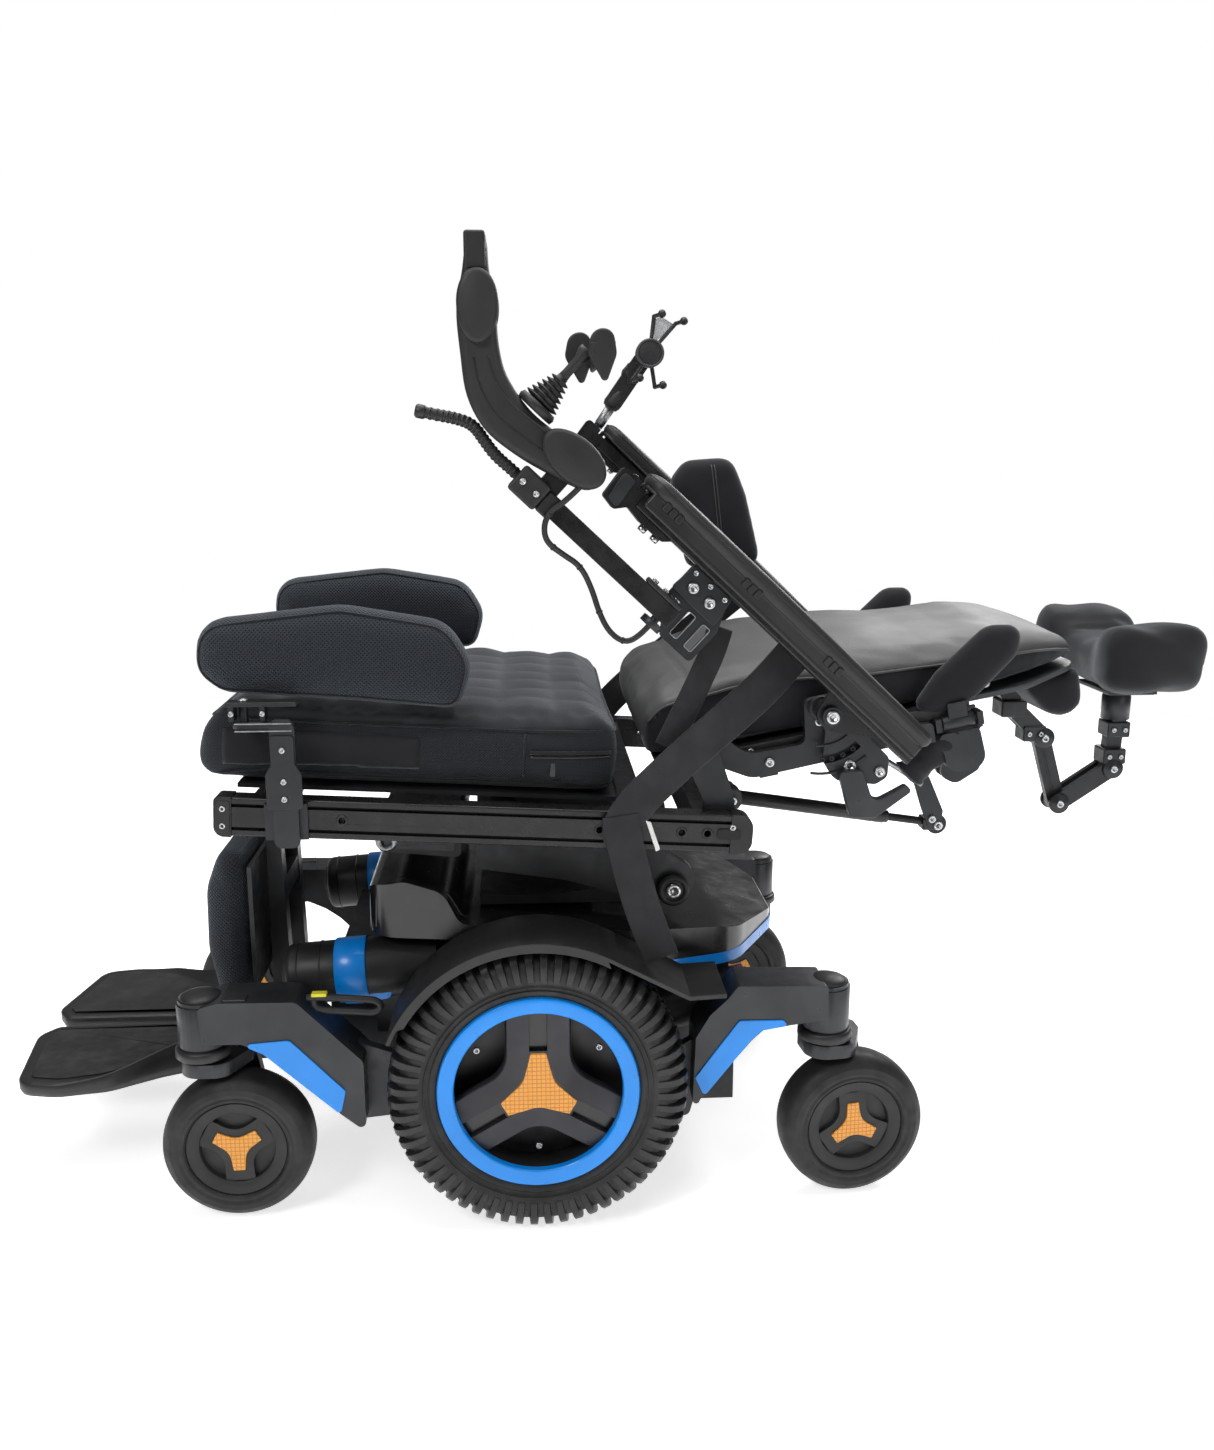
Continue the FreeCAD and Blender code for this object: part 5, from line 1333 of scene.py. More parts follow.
def strap(name, path, width, body):
    """Flat webbing with thicker selvedges along a smooth line."""
    half, t = width / 2, STRAP_THICKNESS / 2
    section = [(-half, -t * 0.7), (-half + 1.6, -t * 1.35), (-half + 3.4, -t), (half - 3.4, -t),
               (half - 1.6, -t * 1.35), (half, -t * 0.7), (half, t * 0.7),
               (half - 1.6, t * 1.35), (half - 3.4, t), (-half + 3.4, t), (-half + 1.6, t * 1.35),
               (-half, t * 0.7)]
    return piece(name, *sweep(smooth_line(path, 8), section), "webbing", body)


def hip_belts():
    for name, side in SIDES:
        y = side * 287.5
        upper = [at(x, y + side * s, z) for x, z, s in
                 ((322, 706, -42), (296, 682, -30), (262, 650, -14), (226, 620, -3), (168, 570, 1),
                  (122, 526, 2), (100, 494, 1.5), (101, 470, 1.0))]
        lower = [at(x, y + side * s, z) for x, z, s in
                 ((97, 505, 2.6), (101, 480, 2.8), (110, 440, 2.4), (124, 390, 0.8),
                  (146, 330, 0))]
        first = strap("hip_belt_upper_" + name, upper, 44, "seat")
        if side < 0:
            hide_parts("hip_belt")
        strap("hip_belt_tail_" + name, lower, 42, "seat")
        inner = [at(x, side * (268 + bow), z) for x, z, bow in
                 ((214, 716, -16), (204, 690, -6), (190, 660, 0), (172, 622, 2), (152, 580, 3))]
        if side < 0:
            strap("hip_belt_inner_" + name, inner, 30, "seat")
        fold = [(126, 499), (132, 497, 1), (143, 464, 2), (138, 462)]
        bevel(piece("hip_belt_fold_" + name, *slab(rounded(fold, 3), y + side * 2.2,
                                                   y + side * 3.6, xz(at)),
                    "white_edge", "seat"), 0.0004)


# ---- hardware ----
def bolts(name, spots, axis, radius, height, body, finish="zinc"):
    joined(name, [socket_bolt(spot, axis, radius, height) + (finish,) for spot in spots], body)


def block(name, low, high, place, finish, body, edge=1.2):
    return bevel(piece(name, *brick(low, high, place), finish, body), edge * MM)


def plate(name, outline, near, far, place, finish, body, edge=0.8, steps=4):
    """Flat part from an outline with corner radii, between two depths."""
    cut = slab(rounded(outline, steps), near, far, place)
    return bevel(piece(name, *cut, finish, body), edge * MM)


def turned(name, profile, centre, axis, segments, finish, body, slot=None):
    """Revolved part; a profile that starts on the axis is left open there."""
    closed = profile[0][0] > 0.1
    return piece(name, *spin(profile, centre, axis, segments, closed), finish, body, slot)


def bar(name, points, radius, finish, body, per=6, up=(0, 1, 0.02)):
    return piece(name, *sweep(smooth_line(points, per), circle(radius, 14), up), finish, body)


def pillow(outline, near, far, edge, crown, place, steps=5):
    """Outline with a fully rounded rim and a face that keeps swelling to its middle."""
    verts, faces = cage(outline, far, near, edge, place, steps)
    faces = faces[:-1]
    count = len(outline)
    rim = inset(outline, edge)
    middle = sum(rim, Vector((0, 0))) / count
    way = 1 if near > far else -1
    start = len(verts) - count
    for share in (0.8, 0.55, 0.28, 0.05):
        ring = [middle + (p - middle) * share for p in rim]
        lift = crown * (1 - share ** 2)
        verts += [place(p.x, p.y, near + way * lift) for p in ring]
        after = len(verts) - count
        for i in range(count):
            j = (i + 1) % count
            faces.append([start + i, start + j, after + j, after + i])
        start = after
    faces.append([start + i for i in range(count)])
    return verts, faces


def oval(x, z, half_long, half_short, lean, count=40, egg=0.0):
    angle = math.radians(lean)
    points = []
    for i in range(count):
        turn = math.tau * i / count
        a = half_long * math.cos(turn)
        b = half_short * math.sin(turn) * (1 + egg * math.cos(turn))
        points.append(Vector((x + a * math.cos(angle) - b * math.sin(angle),
                              z + a * math.sin(angle) + b * math.cos(angle))))
    return points


# ---- base details ----
FRONT_INSERT = ((-349, 230, 3), (-292, 234, 8), (-229, 167, 4), (-236, 136, 4), (-305, 200, 10),
                (-323, 217, 4))
REAR_INSERT = ((242, 243, 3), (296, 242, 4), (302, 234, 3), (270, 229, 8), (258, 218, 8),
               (201, 145, 4), (189, 170, 4))
BOOM_FRONT, BOOM_REAR, BOOM_R = (-308, 175, 274), (-121, 175, 288), 38.0


def suspension_trim():
    for name, stem_x, side, _, _ in CASTERS:
        body = "suspension_" + name
        front = stem_x < 0
        outline = FRONT_INSERT if front else REAR_INSERT
        plate("arm_insert_" + name, outline, side * 274.6, side * 277.2, xz(at), "blue", body, 1.1)
        top = at(stem_x, side * 245, 279)
        dome = [(0.01, 5.4), (14, 5.0), (22, 3.2), (26.2, 0), (0.01, 0)]
        turned("stem_cap_" + name, dome, top, (0, 0, 1), 48, "moulded", body)
        skirt = [(31.5, 0), (33.5, 2), (33.0, 10), (29.2, 15), (29.1, 0)]
        turned("stem_skirt_" + name, skirt, at(stem_x, side * 245, 206.4), (0, 0, 1), 48, "moulded",
               body)
        lug_x = stem_x + (44 if front else -40)
        tab_y = side * 262
        block("stem_tab_" + name, (lug_x - 14, tab_y - 9, 279), (lug_x + 14, tab_y + 9, 284), at,
              "moulded", body, 2.0)
        pivot = (-75, 150) if front else (75, 118)
        bolts("arm_pivot_bolt_" + name, [at(pivot[0], side * 245.5, pivot[1])], (0, side, 0), 8, 4,
              "base")


def mark_faces(node, finish, test):
    """Give the faces of a design node whose centre passes the test a second finish."""
    made = NODE[node]
    made.data.materials.append(M[finish].mat)
    number = len(made.data.materials) - 1
    matrix = made.matrix_world
    for polygon in made.data.polygons:
        if test(matrix @ polygon.center):
            polygon.material_index = number


def ring_test(point):
    for side in (-1, 1):
        start = at(40, side * 183, 186)
        run = Vector((243, 0, 66)).normalized()
        along = (point - start).dot(run) / MM
        out = (point - start - run * along * MM).length / MM
        if 225.5 < along < 236.5 and 23.2 < out < 30:
            return True
    return False


def base_trim():
    mark_faces("base_shroud", "blue", lambda p: p.z < 0.2946)
    mark_faces("drive_motors", "red_clear", ring_test)
    for name, side in SIDES:
        start = at(BOOM_FRONT[0], side * BOOM_FRONT[1], BOOM_FRONT[2])
        run = (at(BOOM_REAR[0], side * BOOM_REAR[1], BOOM_REAR[2]) - start).normalized()
        band = [(38.2, 62.5), (39.4, 61.8), (40.1, 62.6), (40.1, 99.6), (39.4, 100.4), (38.2, 99.8)]
        turned("boom_band_" + name, band, start, run, 72, "blue", "base")
        nose = [(0.01, -7), (9, -7), (10, -5), (10, 0), (20, 0.2), (22, -2.5), (26, -2.5),
                (28, 0.4), (0.01, 0.4)]
        turned("boom_plug_" + name, nose, start, run, 40, "soft_touch", "base")
        for k, along in enumerate((16, 44)):
            groove = [(BOOM_R - 0.6, -1.2), (BOOM_R + 0.9, -0.8), (BOOM_R + 0.9, 0.8),
                      (BOOM_R - 0.6, 1.2)]
            turned(f"boom_ring_{k}_{name}", groove, start + run * along * MM, run, 56, "moulded",
                   "base")
        blade = [(-238, 246, 3), (-232, 262, 8), (-176, 266, 4), (-180, 252, 8), (-214, 246, 4)]
        plate("boom_blade_" + name, blade, side * 196, side * 205, xz(at), "blue", "base", 1.5)
        loop = [(-272, 281), (-252, 281), (-204, 277), (-190, 274), (-186, 267), (-194, 261),
                (-214, 262), (-250, 265), (-262, 270), (-264, 279)]
        bar("tie_loop_" + name, [at(x, side * 262, z) for x, z in loop], 4.2, "soft_touch",
            "suspension_front_" + name)
        block("tie_tag_" + name, (-266, side * 262 - 5, 283), (-248, side * 262 + 5, 287.5), at,
              "tag", "suspension_front_" + name, 1.2)
        ring = [(13, -5), (19, -4), (20, -1), (20, 3), (17, 5), (13, 5)]
        turned("tilt_boss_" + name, ring, at(172, side * 178, 375), (0, side, 0), 40, "soft_touch",
               "lift_head")
        bolts("tilt_bolt_" + name, [at(172, side * 180, 375)], (0, side, 0), 9.5, 5, "lift_head")
        eye = [(7, -4), (13, -3.5), (14, 0), (13, 3.5), (7, 4)]
        turned("drive_unit_eye_" + name, eye, at(-184, side * 152, 438), (0, 1, 0), 32, "steel",
               "seat")
        rim = rounded([(-204, 336, 6), (-202, 384, 14), (-160, 396, 24), (-118, 384, 24),
                       (-100, 352, 12), (-70, 340, 10)], 5)
        line = [at(p.x + 8, side * 190, p.y + 1) for p in rim[4:-4]]
        bar("shroud_edge_" + name, line, 1.4, "gloss", "base")
        case = [(-188, 428, 4), (-188, 456, 4), (-100, 456, 4), (-100, 422, 4)]
        plate("module_cover_" + name, case, side * 149, side * 152.5, xz(at), "grey_plastic",
              "seat", 1.0, 3)
        for i in range(2):
            block(f"module_label_{i}_{name}", (-176 + i * 36, side * 152, 432),
                  (-146 + i * 36, side * 153.4, 448), at, "moulded", "seat", 0.5)


# ---- rails and knee links ----
def rail_details():
    for name, side in SIDES:
        y = side * 281.2
        # Thin dark strips on the rail face stand for its two slots: painted shade.
        for k, z in enumerate((466, 494.5)):
            block(f"rail_slot_shade_{k}_{name}", (-347, side * 275, z - 1.7),
                  (219, side * 275.6, z + 1.7), seat_at, "dark", "seat", 0.1)
        spots = [seat_at(x, y, z) for x, z in ((-358, 490), (-358, 470), (-300, 481), (222, 489))]
        bolts("rail_screws_" + name, spots, (0, side, 0), 3.6, 2.2, "seat")
        for i, x in enumerate((-225, 68, 163, 193)):
            ring = [(4.1, -0.4), (6.2, -0.4), (6.6, 0.4), (4.1, 0.5)]
            turned(f"rail_eyelet_{i}_{name}", ring, seat_at(x, y, 480.5), (0, side, 0), 28,
                   "moulded", "seat")
        # A thin dark plate for the slot at the rail's end: painted shade.
        slot = [(204, 474, 5), (204, 487, 5), (232, 487, 5), (232, 474, 5)]
        plate("rail_end_slot_shade_" + name, slot, side * 281.4, side * 283.2, xz(seat_at), "dark",
              "seat", 0.5)
        nose = [(-366, 462, 6), (-366, 499, 5), (-350, 499, 2), (-350, 462, 2)]
        plate("rail_nose_" + name, nose, side * 281.2, side * 283.2, xz(seat_at), "soft_touch",
              "seat", 0.8)


def knee_links():
    for name, side in SIDES:
        body = "knee_support_" + name
        neck = [(-299, 520, 4), (-299, 560, 6), (-292, 572, 4), (-292, 604, 4), (-266, 604, 4),
                (-266, 572, 4), (-259, 560, 6), (-259, 520, 4)]
        plate("knee_plate_" + name, neck, side * 289.6, side * 293.2, xz(at), "powder", "seat", 0.8)
        spots = [at(-279, side * 293.2, z) for z in (532, 552, 588)]
        bolts("knee_plate_screws_" + name, spots, (0, side, 0), 3.4, 2.2, "seat")
        for k, z in enumerate((609.4, 617.6)):
            block(f"knee_link_edge_{k}_{name}", (-330, side * 287 - 4, z - 0.7),
                  (-268, side * 287 + 4, z + 0.7), at, "steel", "seat", 0.3)
        block("knee_foot_" + name, (-340, side * 275 - 12, 636), (-262, side * 275 + 9, 641), at,
              "powder", body, 1.0)
        for k, x in enumerate((-334, -300)):
            block(f"knee_cheek_{k}_{name}", (x - 3, side * 275 - 10, 619.5),
                  (x + 3, side * 275 + 8, 640), at, "powder", body, 0.8)
        bolts("knee_pivot_bolt_" + name, [at(-322, side * 275, 640.5)], (0, 0, 1), 6, 3, body)
        spots = [at(x, side * 284.5, 628) for x in (-334, -300)]
        bolts("knee_cheek_bolts_" + name, spots, (0, side, 0), 3.2, 2, body)
        block("knee_plug_" + name, (-296, side * 284 - 8, 500), (-272, side * 284 + 4, 520),
              seat_at, "soft_touch", "seat", 2.0)


# ---- footplates ----
FOOT_PLAN = ((-440, 74, 6), (-442, 106, 12), (-486, 132, 60), (-540, 172, 60), (-600, 186, 60),
             (-652, 176, 26), (-674, 40, 30), (-655, 13, 12), (-440, 13, 6))


def footplates():
    """Boat-shaped tread: a rim that rises, a speckled inlay, and a hull that deepens aft."""
    for name, side in SIDES:
        body = "foot_" + name
        plan = rounded([(x, side * y, r) for x, y, r in FOOT_PLAN], 6)
        plan = [Vector((p.x, p.y)) for p in resample(plan, 150)]

        def heel(x):
            return max(0.0, min(1.0, (x + 600) / 150)) ** 1.6

        rings = []
        for distance, top, low in ((15, 0, 0.5), (6.5, 0, 1), (2.0, 1, 0.3), (0.3, 1, 0),
                                   (0.3, 1, -1), (2.5, 1, -2), (9, 0, -3)):
            ring = []
            for p in inset(plan, distance):
                outer = max(0.0, min(1.0, (side * p.y - 40 - 25 * heel(p.x)) / 60))
                rim_lift = 27 * heel(p.x) * outer * top
                if low > 0:
                    z = 138.8 + low * 1.2 + rim_lift
                elif low == 0:
                    z = 137.5 + rim_lift
                elif low == -1:
                    z = 127 - 6 * heel(p.x) + rim_lift * 0.3
                elif low == -2:
                    z = 121.5 - 7 * heel(p.x)
                else:
                    z = 119.8 - 7 * heel(p.x)
                ring.append(at(p.x, p.y, z))
            rings.append(ring)
        verts, faces = loft(rings)
        made = piece("footplate_body_" + name, verts, faces, "moulded", body)
        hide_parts("footplate_" + name)
        tread = [Vector((p.x, p.y)) for p in inset(plan, 15)]
        piece("footplate_grip_" + name, *cage(tread, 139.2, 141.4, 0.9, xy(at), 2), "grip", body)
        for k, y in enumerate((88, 28)):
            start, end = at(-437, side * (y - 13), 128), at(-437, side * (y + 13), 128)
            piece(f"footplate_knuckle_{k}_{name}", *rod(start, end, 13.2, 32, 2), "moulded", body)
            block(f"footplate_web_{k}_{name}", (-470, side * y - 12, 119),
                  (-438, side * y + 12, 138), at, "moulded", body, 2)
        bolts("footplate_bolt_" + name, [at(-437, side * 105, 128)], (0, side, 0), 6, 3, "legrest")


# ---- joystick ----
HOUSING = ((-64, 1129), (-68, 1095), (-75, 1056), (-72, 1010), (-66, 968), (-48, 934), (-18, 909),
           (16, 889), (52, 872), (70, 876), (78, 902), (50, 918), (22, 935), (-3, 957), (-24, 989),
           (-32, 1020), (-35, 1060), (-41, 1096), (-45, 1129))


PALM_WING = ((59, 1010, 14), (64, 1035, 14), (86, 1036, 14), (90, 1010, 16), (78, 978, 4))


def joystick_head():
    body = "joystick"
    curve = [Vector((x, 0, z)) for x, z in HOUSING + HOUSING[:1]]
    curve = [Vector((p.x, p.z)) for p in smooth_line(curve, 5)[:-1]]
    verts, faces = cage(curve, -317, -276, 9, xz(at), 5)
    made = piece("joystick_shell", verts, faces, "soft_touch", body)
    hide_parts("joystick_housing")
    high, low = oval(-53, 1057, 37.5, 21.5, 90, 44, 0.08), oval(45, 904, 40, 23.5, -41, 44, 0.06)
    for tag, near, far in (("near", -326, -312), ("far", -269, -281)):
        for label, outline in (("high", high), ("low", low)):
            piece(f"joystick_cheek_{label}_{tag}", *pillow(outline, near, far, 6, 3, xz(at)),
                  "soft_touch", body)
    # A thin dark bar along the shell for the groove beside the ridge: painted shade.
    groove = [(-58, 1006), (-52, 978), (-36, 950), (-10, 928), (18, 908)]
    bar("joystick_groove_shade", [at(x, -317, z) for x, z in groove], 0.9, "dark", body)
    groove = [(-43, 1008), (-36, 984), (-20, 962), (4, 942), (24, 926)]
    bar("joystick_ridge", [at(x, -316.6, z) for x, z in groove], 1.3, "moulded", body)
    block("joystick_screen_case", (-66, -318, 1093), (-44, -280, 1131), at, "soft_touch", body, 3)
    block("joystick_screen", (-62, -314, 1100), (-43.4, -284, 1127), at, "screen", body, 1)
    base = at(9, -300, 960)
    run = Vector((0.68, 0, 0.733))
    collar = [(0.01, -8), (22, -8), (23, -3), (21, 1), (0.01, 1)]
    turned("joystick_collar", collar, base, run, 48, "soft_touch", body)
    rings = [(0.01, 1)]
    for i in range(6):
        wide = 20.5 - 1.9 * i
        rings += [(wide - 4.5, 2 + i * 5.6), (wide, 4.2 + i * 5.6), (wide, 5.2 + i * 5.6),
                  (wide - 4.8, 7 + i * 5.6)]
    rings += [(6, 38), (0.01, 38)]
    made = turned("stick_bellows", rings, base, run, 48, "bellows", "joystick_lever")
    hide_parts("joystick_stick")
    shaft = [(0.01, 30), (6.2, 30), (5.2, 44), (5.4, 62), (8.5, 71), (8.5, 76), (0.01, 76)]
    turned("stick_shaft", shaft, base, run, 28, "soft_touch", "joystick_lever")
    channel = [(-324, 1022), (-321, 1012), (-314, 1005), (-300, 1002), (-286, 1005),
               (-279, 1012), (-276, 1022)]
    section = [(-2, -13), (0, -14), (2, -13), (2, 13), (0, 14), (-2, 13)]
    piece("palm_saddle", *sweep(smooth_line([at(75, y, z) for y, z in channel], 5), section,
                                (0.78, 0, 0.62)), "soft_touch", "joystick_lever")
    for tag, near, far, back in (("near", -326, -321, 0), ("far", -274, -279, -22)):
        wing = rounded([(x + back, z, r) for x, z, r in PALM_WING], 7)
        piece("palm_wing_" + tag, *pillow(wing, near, far, 2.2, 0.8, xz(at), 3), "soft_touch",
              "joystick_lever")


def joystick_mount():
    body = "joystick"
    block("tube_clamp", (404, -316, -60), (441, -284, -28), arm_at, "soft_touch", body, 3.5)
    block("tube_clamp_step", (386, -313, -57), (404, -287, -31), arm_at, "moulded", body, 2.5)
    bolts("tube_clamp_bolts", [arm_at(a, -316, -44) for a in (413, 432)], (0, -1, 0), 3.6, 2.4,
          body)
    block("tube_saddle", (214, -314, -32), (262, -286, -26), arm_at, "moulded", body, 2)
    frame_up = (arm_at(0, 0, 1) - arm_at(0, 0, 0)).normalized()
    bolts("tube_saddle_bolts", [arm_at(a, -300, -26) for a in (222, 238, 254)], frame_up, 4, 3,
          body)
    clamp = [(232, 18, 3), (176, 18, 3), (170, -18, 4), (236, -18, 4)]
    plate("bracket_clamp", clamp, -286.4, -291, xz(arm_at), "powder", "armrest_left", 1.2, 3)
    bolts("bracket_bolts", [arm_at(a, -291, -2) for a in (192, 217)], (0, -1, 0), 6.6, 4,
          "armrest_left")
    small = [arm_at(a, -291, b) for a, b in ((182, 12), (226, 12), (204, 12))]
    bolts("bracket_small_bolts", small, (0, -1, 0), 3.2, 2.2, "armrest_left")
    for i, a in enumerate((195, 173)):
        rim, hole = [rounded([(a - half, low, r), (a - half, high, r), (a + half, high, r),
                              (a + half, low, r)], 4)
                     for half, low, high, r in ((5.9, -57, -23, 3), (5, -56, -24, 2))]
        verts = [arm_at(p.x, y, p.y) for y in (-277.6, -278.6) for p in rim]
        verts += [arm_at(p.x, y, p.y) for y in (-278.6, -277.6) for p in hole]
        count = len(rim)
        faces = []
        for k in range(4):
            for j in range(count):
                n = (j + 1) % count
                m = (k + 1) % 4
                faces.append([k * count + j, k * count + n, m * count + n, m * count + j])
        piece(f"bracket_slot_rim_{i}", verts, faces, "steel", "armrest_left")


# ---- cords ----
LEAD_ROUTE = ((384, -316, -6.9), (385, -316, -28), (390, -317, -46), (386, -317, -62),
              (372, -316, -74), (350, -310, -72), (326, -304, -68), (300, -300, -78),
              (276, -300, -92), (254, -300, -100), (234, -300, -98), (226, -300, -84),
              (226, -300, -66.4))
HARNESS_ROUTE = ((440.4, -300, -43), (452, -300, -43), (472, -300, -44), (492, -300, -40),
                 (510, -300, -36), (528, -300, -44), (546, -298, -56), (561, -298, -65))


def cord(name, route, radius, finish, body):
    """NURBS curve through control points in armrest coordinates."""
    data = bpy.data.curves.new(name, "CURVE")
    data.dimensions = "3D"
    data.resolution_u = 16
    data.bevel_depth = radius * MM
    data.bevel_resolution = 5
    data.use_fill_caps = True
    spline = data.splines.new("NURBS")
    spline.points.add(len(route) - 1)
    for point, (a, y, b) in zip(spline.points, route):
        point.co = (*arm_at(a, y, b), 1)
    spline.order_u = 3
    spline.use_endpoint_u = True
    data.materials.append(M[finish].mat)
    made = bpy.data.objects.new(name, data)
    bpy.context.scene.collection.objects.link(made)
    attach(made, body)
    return made


def centre_line(made):
    bare = made.data.copy()
    bare.bevel_depth = 0
    probe = bpy.data.objects.new("probe", bare)
    mesh = bpy.data.meshes.new_from_object(probe)
    points = [vert.co.copy() for vert in mesh.vertices]
    bpy.data.objects.remove(probe)
    return points


def along(points, share):
    """Point and direction at a share of a polyline's points."""
    place = share * (len(points) - 1)
    i = min(int(place), len(points) - 2)
    run = points[i + 1] - points[i]
    return points[i] + run * (place - i), run.normalized()


def wrap_rings(name, points, shares, radius, thick, body, finish):
    ring = [(radius - 0.4, -thick), (radius + 0.5, -thick * 0.7), (radius + 0.8, 0),
            (radius + 0.5, thick * 0.7), (radius - 0.4, thick)]
    parts = []
    for share in shares:
        centre, run = along(points, share)
        tilt = (run + Vector((0, 0.22, 0))).normalized()
        parts.append(spin(ring, centre, tilt, 20) + (finish,))
    return joined(name, parts, body)


def joystick_cords():
    body = "joystick"
    lead = cord("joystick_lead", LEAD_ROUTE, 3.2, "soft_touch", body)
    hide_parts("joystick_cable")
    line = centre_line(lead)
    ties = wrap_rings("lead_ties", line, (0.16, 0.36, 0.5, 0.68, 0.86), 3.2, 1.4, body, "moulded")
    harness = cord("spare_harness", HARNESS_ROUTE, 6.0, "soft_touch", body)
    line = centre_line(harness)
    wraps = wrap_rings("harness_wrap", line, [0.03 + 0.043 * i for i in range(22)], 6.0, 1.9, body,
                       "moulded")
    tip, run = along(line, 1.0)
    shell = [(0.01, 0), (6.6, 0), (7.4, 2), (7.4, 9), (5.4, 11), (0.01, 11)]
    plug = turned("harness_plug", shell, tip - run * 0.0075, run, 24, "moulded", body)
    tuple(arm_at(*LEAD_ROUTE[0]))
    tuple(arm_at(*HARNESS_ROUTE[0]))


# ---- phone holder ----
def phone_details():
    y = 243.0
    face = [(0.01, -1.4), (15.5, -1.4), (16.5, -1.0), (17, -0.4), (17.4, -1.8), (19.4, -2.0),
            (20.6, -0.6), (20.6, 2), (0.01, 2)]
    turned("phone_disc", face, at(180, y, 1054), (0, 1, 0), 56, "soft_touch", "phone_cradle")
    ring = [(17.2, -2.0), (19.5, -2.2), (20.8, -0.8), (20.8, 0.6), (17.2, 0.6)]
    turned("phone_disc_rim", ring, at(180, y, 1054), (0, 1, 0), 56, "grey_plastic", "phone_cradle")
    web = [at(186, 251, 1070), at(187, 251, 1102), at(197, 251, 1106), at(215, 251, 1095),
           at(206, 251, 1082)]
    verts = web + [p + Vector((0, 0.0012, 0)) for p in web]
    faces = [[4, 3, 2, 1, 0], [5, 6, 7, 8, 9]]
    faces += [[i, (i + 1) % 5, 5 + (i + 1) % 5, 5 + i] for i in range(5)]
    piece("phone_web", verts, faces, "pale", "phone_cradle", smooth=False)
    for k, (x0, z0, x1, z1) in enumerate(((124, 978, 148, 1012), (150, 1020, 172, 1048))):
        run = at(x1, 0, z1) - at(x0, 0, z0)
        for part, side in enumerate((-1, 1)):
            shell = [(0.01, 0), (11, 0), (13.5, 6), (12.5, 18), (9.5, 34), (0.01, 34)]
            turned(f"phone_socket_{k}_{part}", shell, at(x0, 295 + side * 3.5, z0), run, 28,
                   "soft_touch", "armrest_right")
    piece("phone_rod", *rod(at(108, 295, 953), at(124, 295, 976), 7.6, 24, 0.8), "steel",
          "armrest_right")


# ---- armrest hardware ----
LINK_CHANNEL = ((355, 545, 5), (384, 547, 5), (398, 507, 10), (437, 528, 4), (444, 520, 4),
                (401, 488, 8), (371, 489, 6))
LOCK_BRACKET = ((270, -127, 5), (290, -123, 5), (302, -174, 6), (295, -193, 5), (280, -191, 5),
                (275, -165, 8))


def on_link(radius, turn, y):
    """Point on an armrest link's plate, by its distance from the pin and its angle."""
    angle = math.radians(turn)
    return arm_at(-radius * math.cos(angle), y, -radius * math.sin(angle))


def armrest_hardware():
    for name, side in SIDES:
        place = armrest_place(side)
        body, link = "armrest_" + name, "armrest_angle_" + name
        outer = (0, side, 0)
        bolts("arm_pin_bolt_" + name, [arm_at(0, side * 296, 0)], outer, 8, 4, link)
        bolts("arm_link_bolt_" + name, [arm_at(-72, side * 247, -27)], outer, 7.5, 4, link)
        bolts("arm_link_end_" + name, [arm_at(-104, side * 247, -8)], outer, 6.5, 4, link)
        for k, radius in enumerate((44, 78)):
            arc = [on_link(radius, 4 + i * 6.5, side * 247.6) for i in range(9)]
            bar(f"arm_link_rib_{k}_{name}", arc, 1.7, "arm_grey", link, 3)
        lugs = [on_link(61, turn, side * 247.4) for turn in (9, 22, 35, 45)]
        bolts("arm_link_teeth_" + name, lugs, outer, 3.4, 1.6, link, "dark")
        plate("arm_link_channel_" + name, LINK_CHANNEL, side * 249, side * 262, xz(at), "arm_grey",
              link, 1.5)
        block("track_side_" + name, (-92, side * 317 - 8, 24), (322, side * 317 + 8, 43.5), place,
              "moulded", body, 3.0)
        # A thin dark strip along the track for its groove: painted shade.
        block("track_groove_shade_" + name, (-92, side * 325.2 - 0.5, 28),
              (322, side * 325.2 + 0.5, 29.4), place, "dark", body, 0.2)
        for k, middle in enumerate((293, 175, 49)):
            for part, lean in enumerate((-9, 0, 9)):
                a = middle + lean
                clip = [(a - 3.4, 35, 1), (a - 3.4, 45, 2), (a + 3.4, 45, 2), (a + 3.4, 35, 1)]
                plate(f"track_clip_{k}_{part}_{name}", clip, side * 316, side * 327.5, xz(place),
                      "moulded", body, 1.0, 3)
        for k, a in enumerate((330, 344)):
            block(f"track_tooth_{k}_{name}", (a, side * 296 - 10, 30), (a + 6, side * 296 + 10, 44),
                  place, "moulded", body, 1.4)
        down = arm_at(0, 0, -1) - arm_at(0, 0, 0)
        spots = [place(a, side * 295, b) for a, b in ((303, 9), (286, 10))]
        bolts("accessory_bolts_" + name, spots, down, 5.0, 6, body)
        gusset = [(340, 3, 4), (356, 6, 4), (360, 38, 5), (344, 38, 3), (342, 18, 6)]
        plate("accessory_rib_" + name, gusset, side * 309.8, side * 312, xz(place), "powder", body,
              1.0, 3)


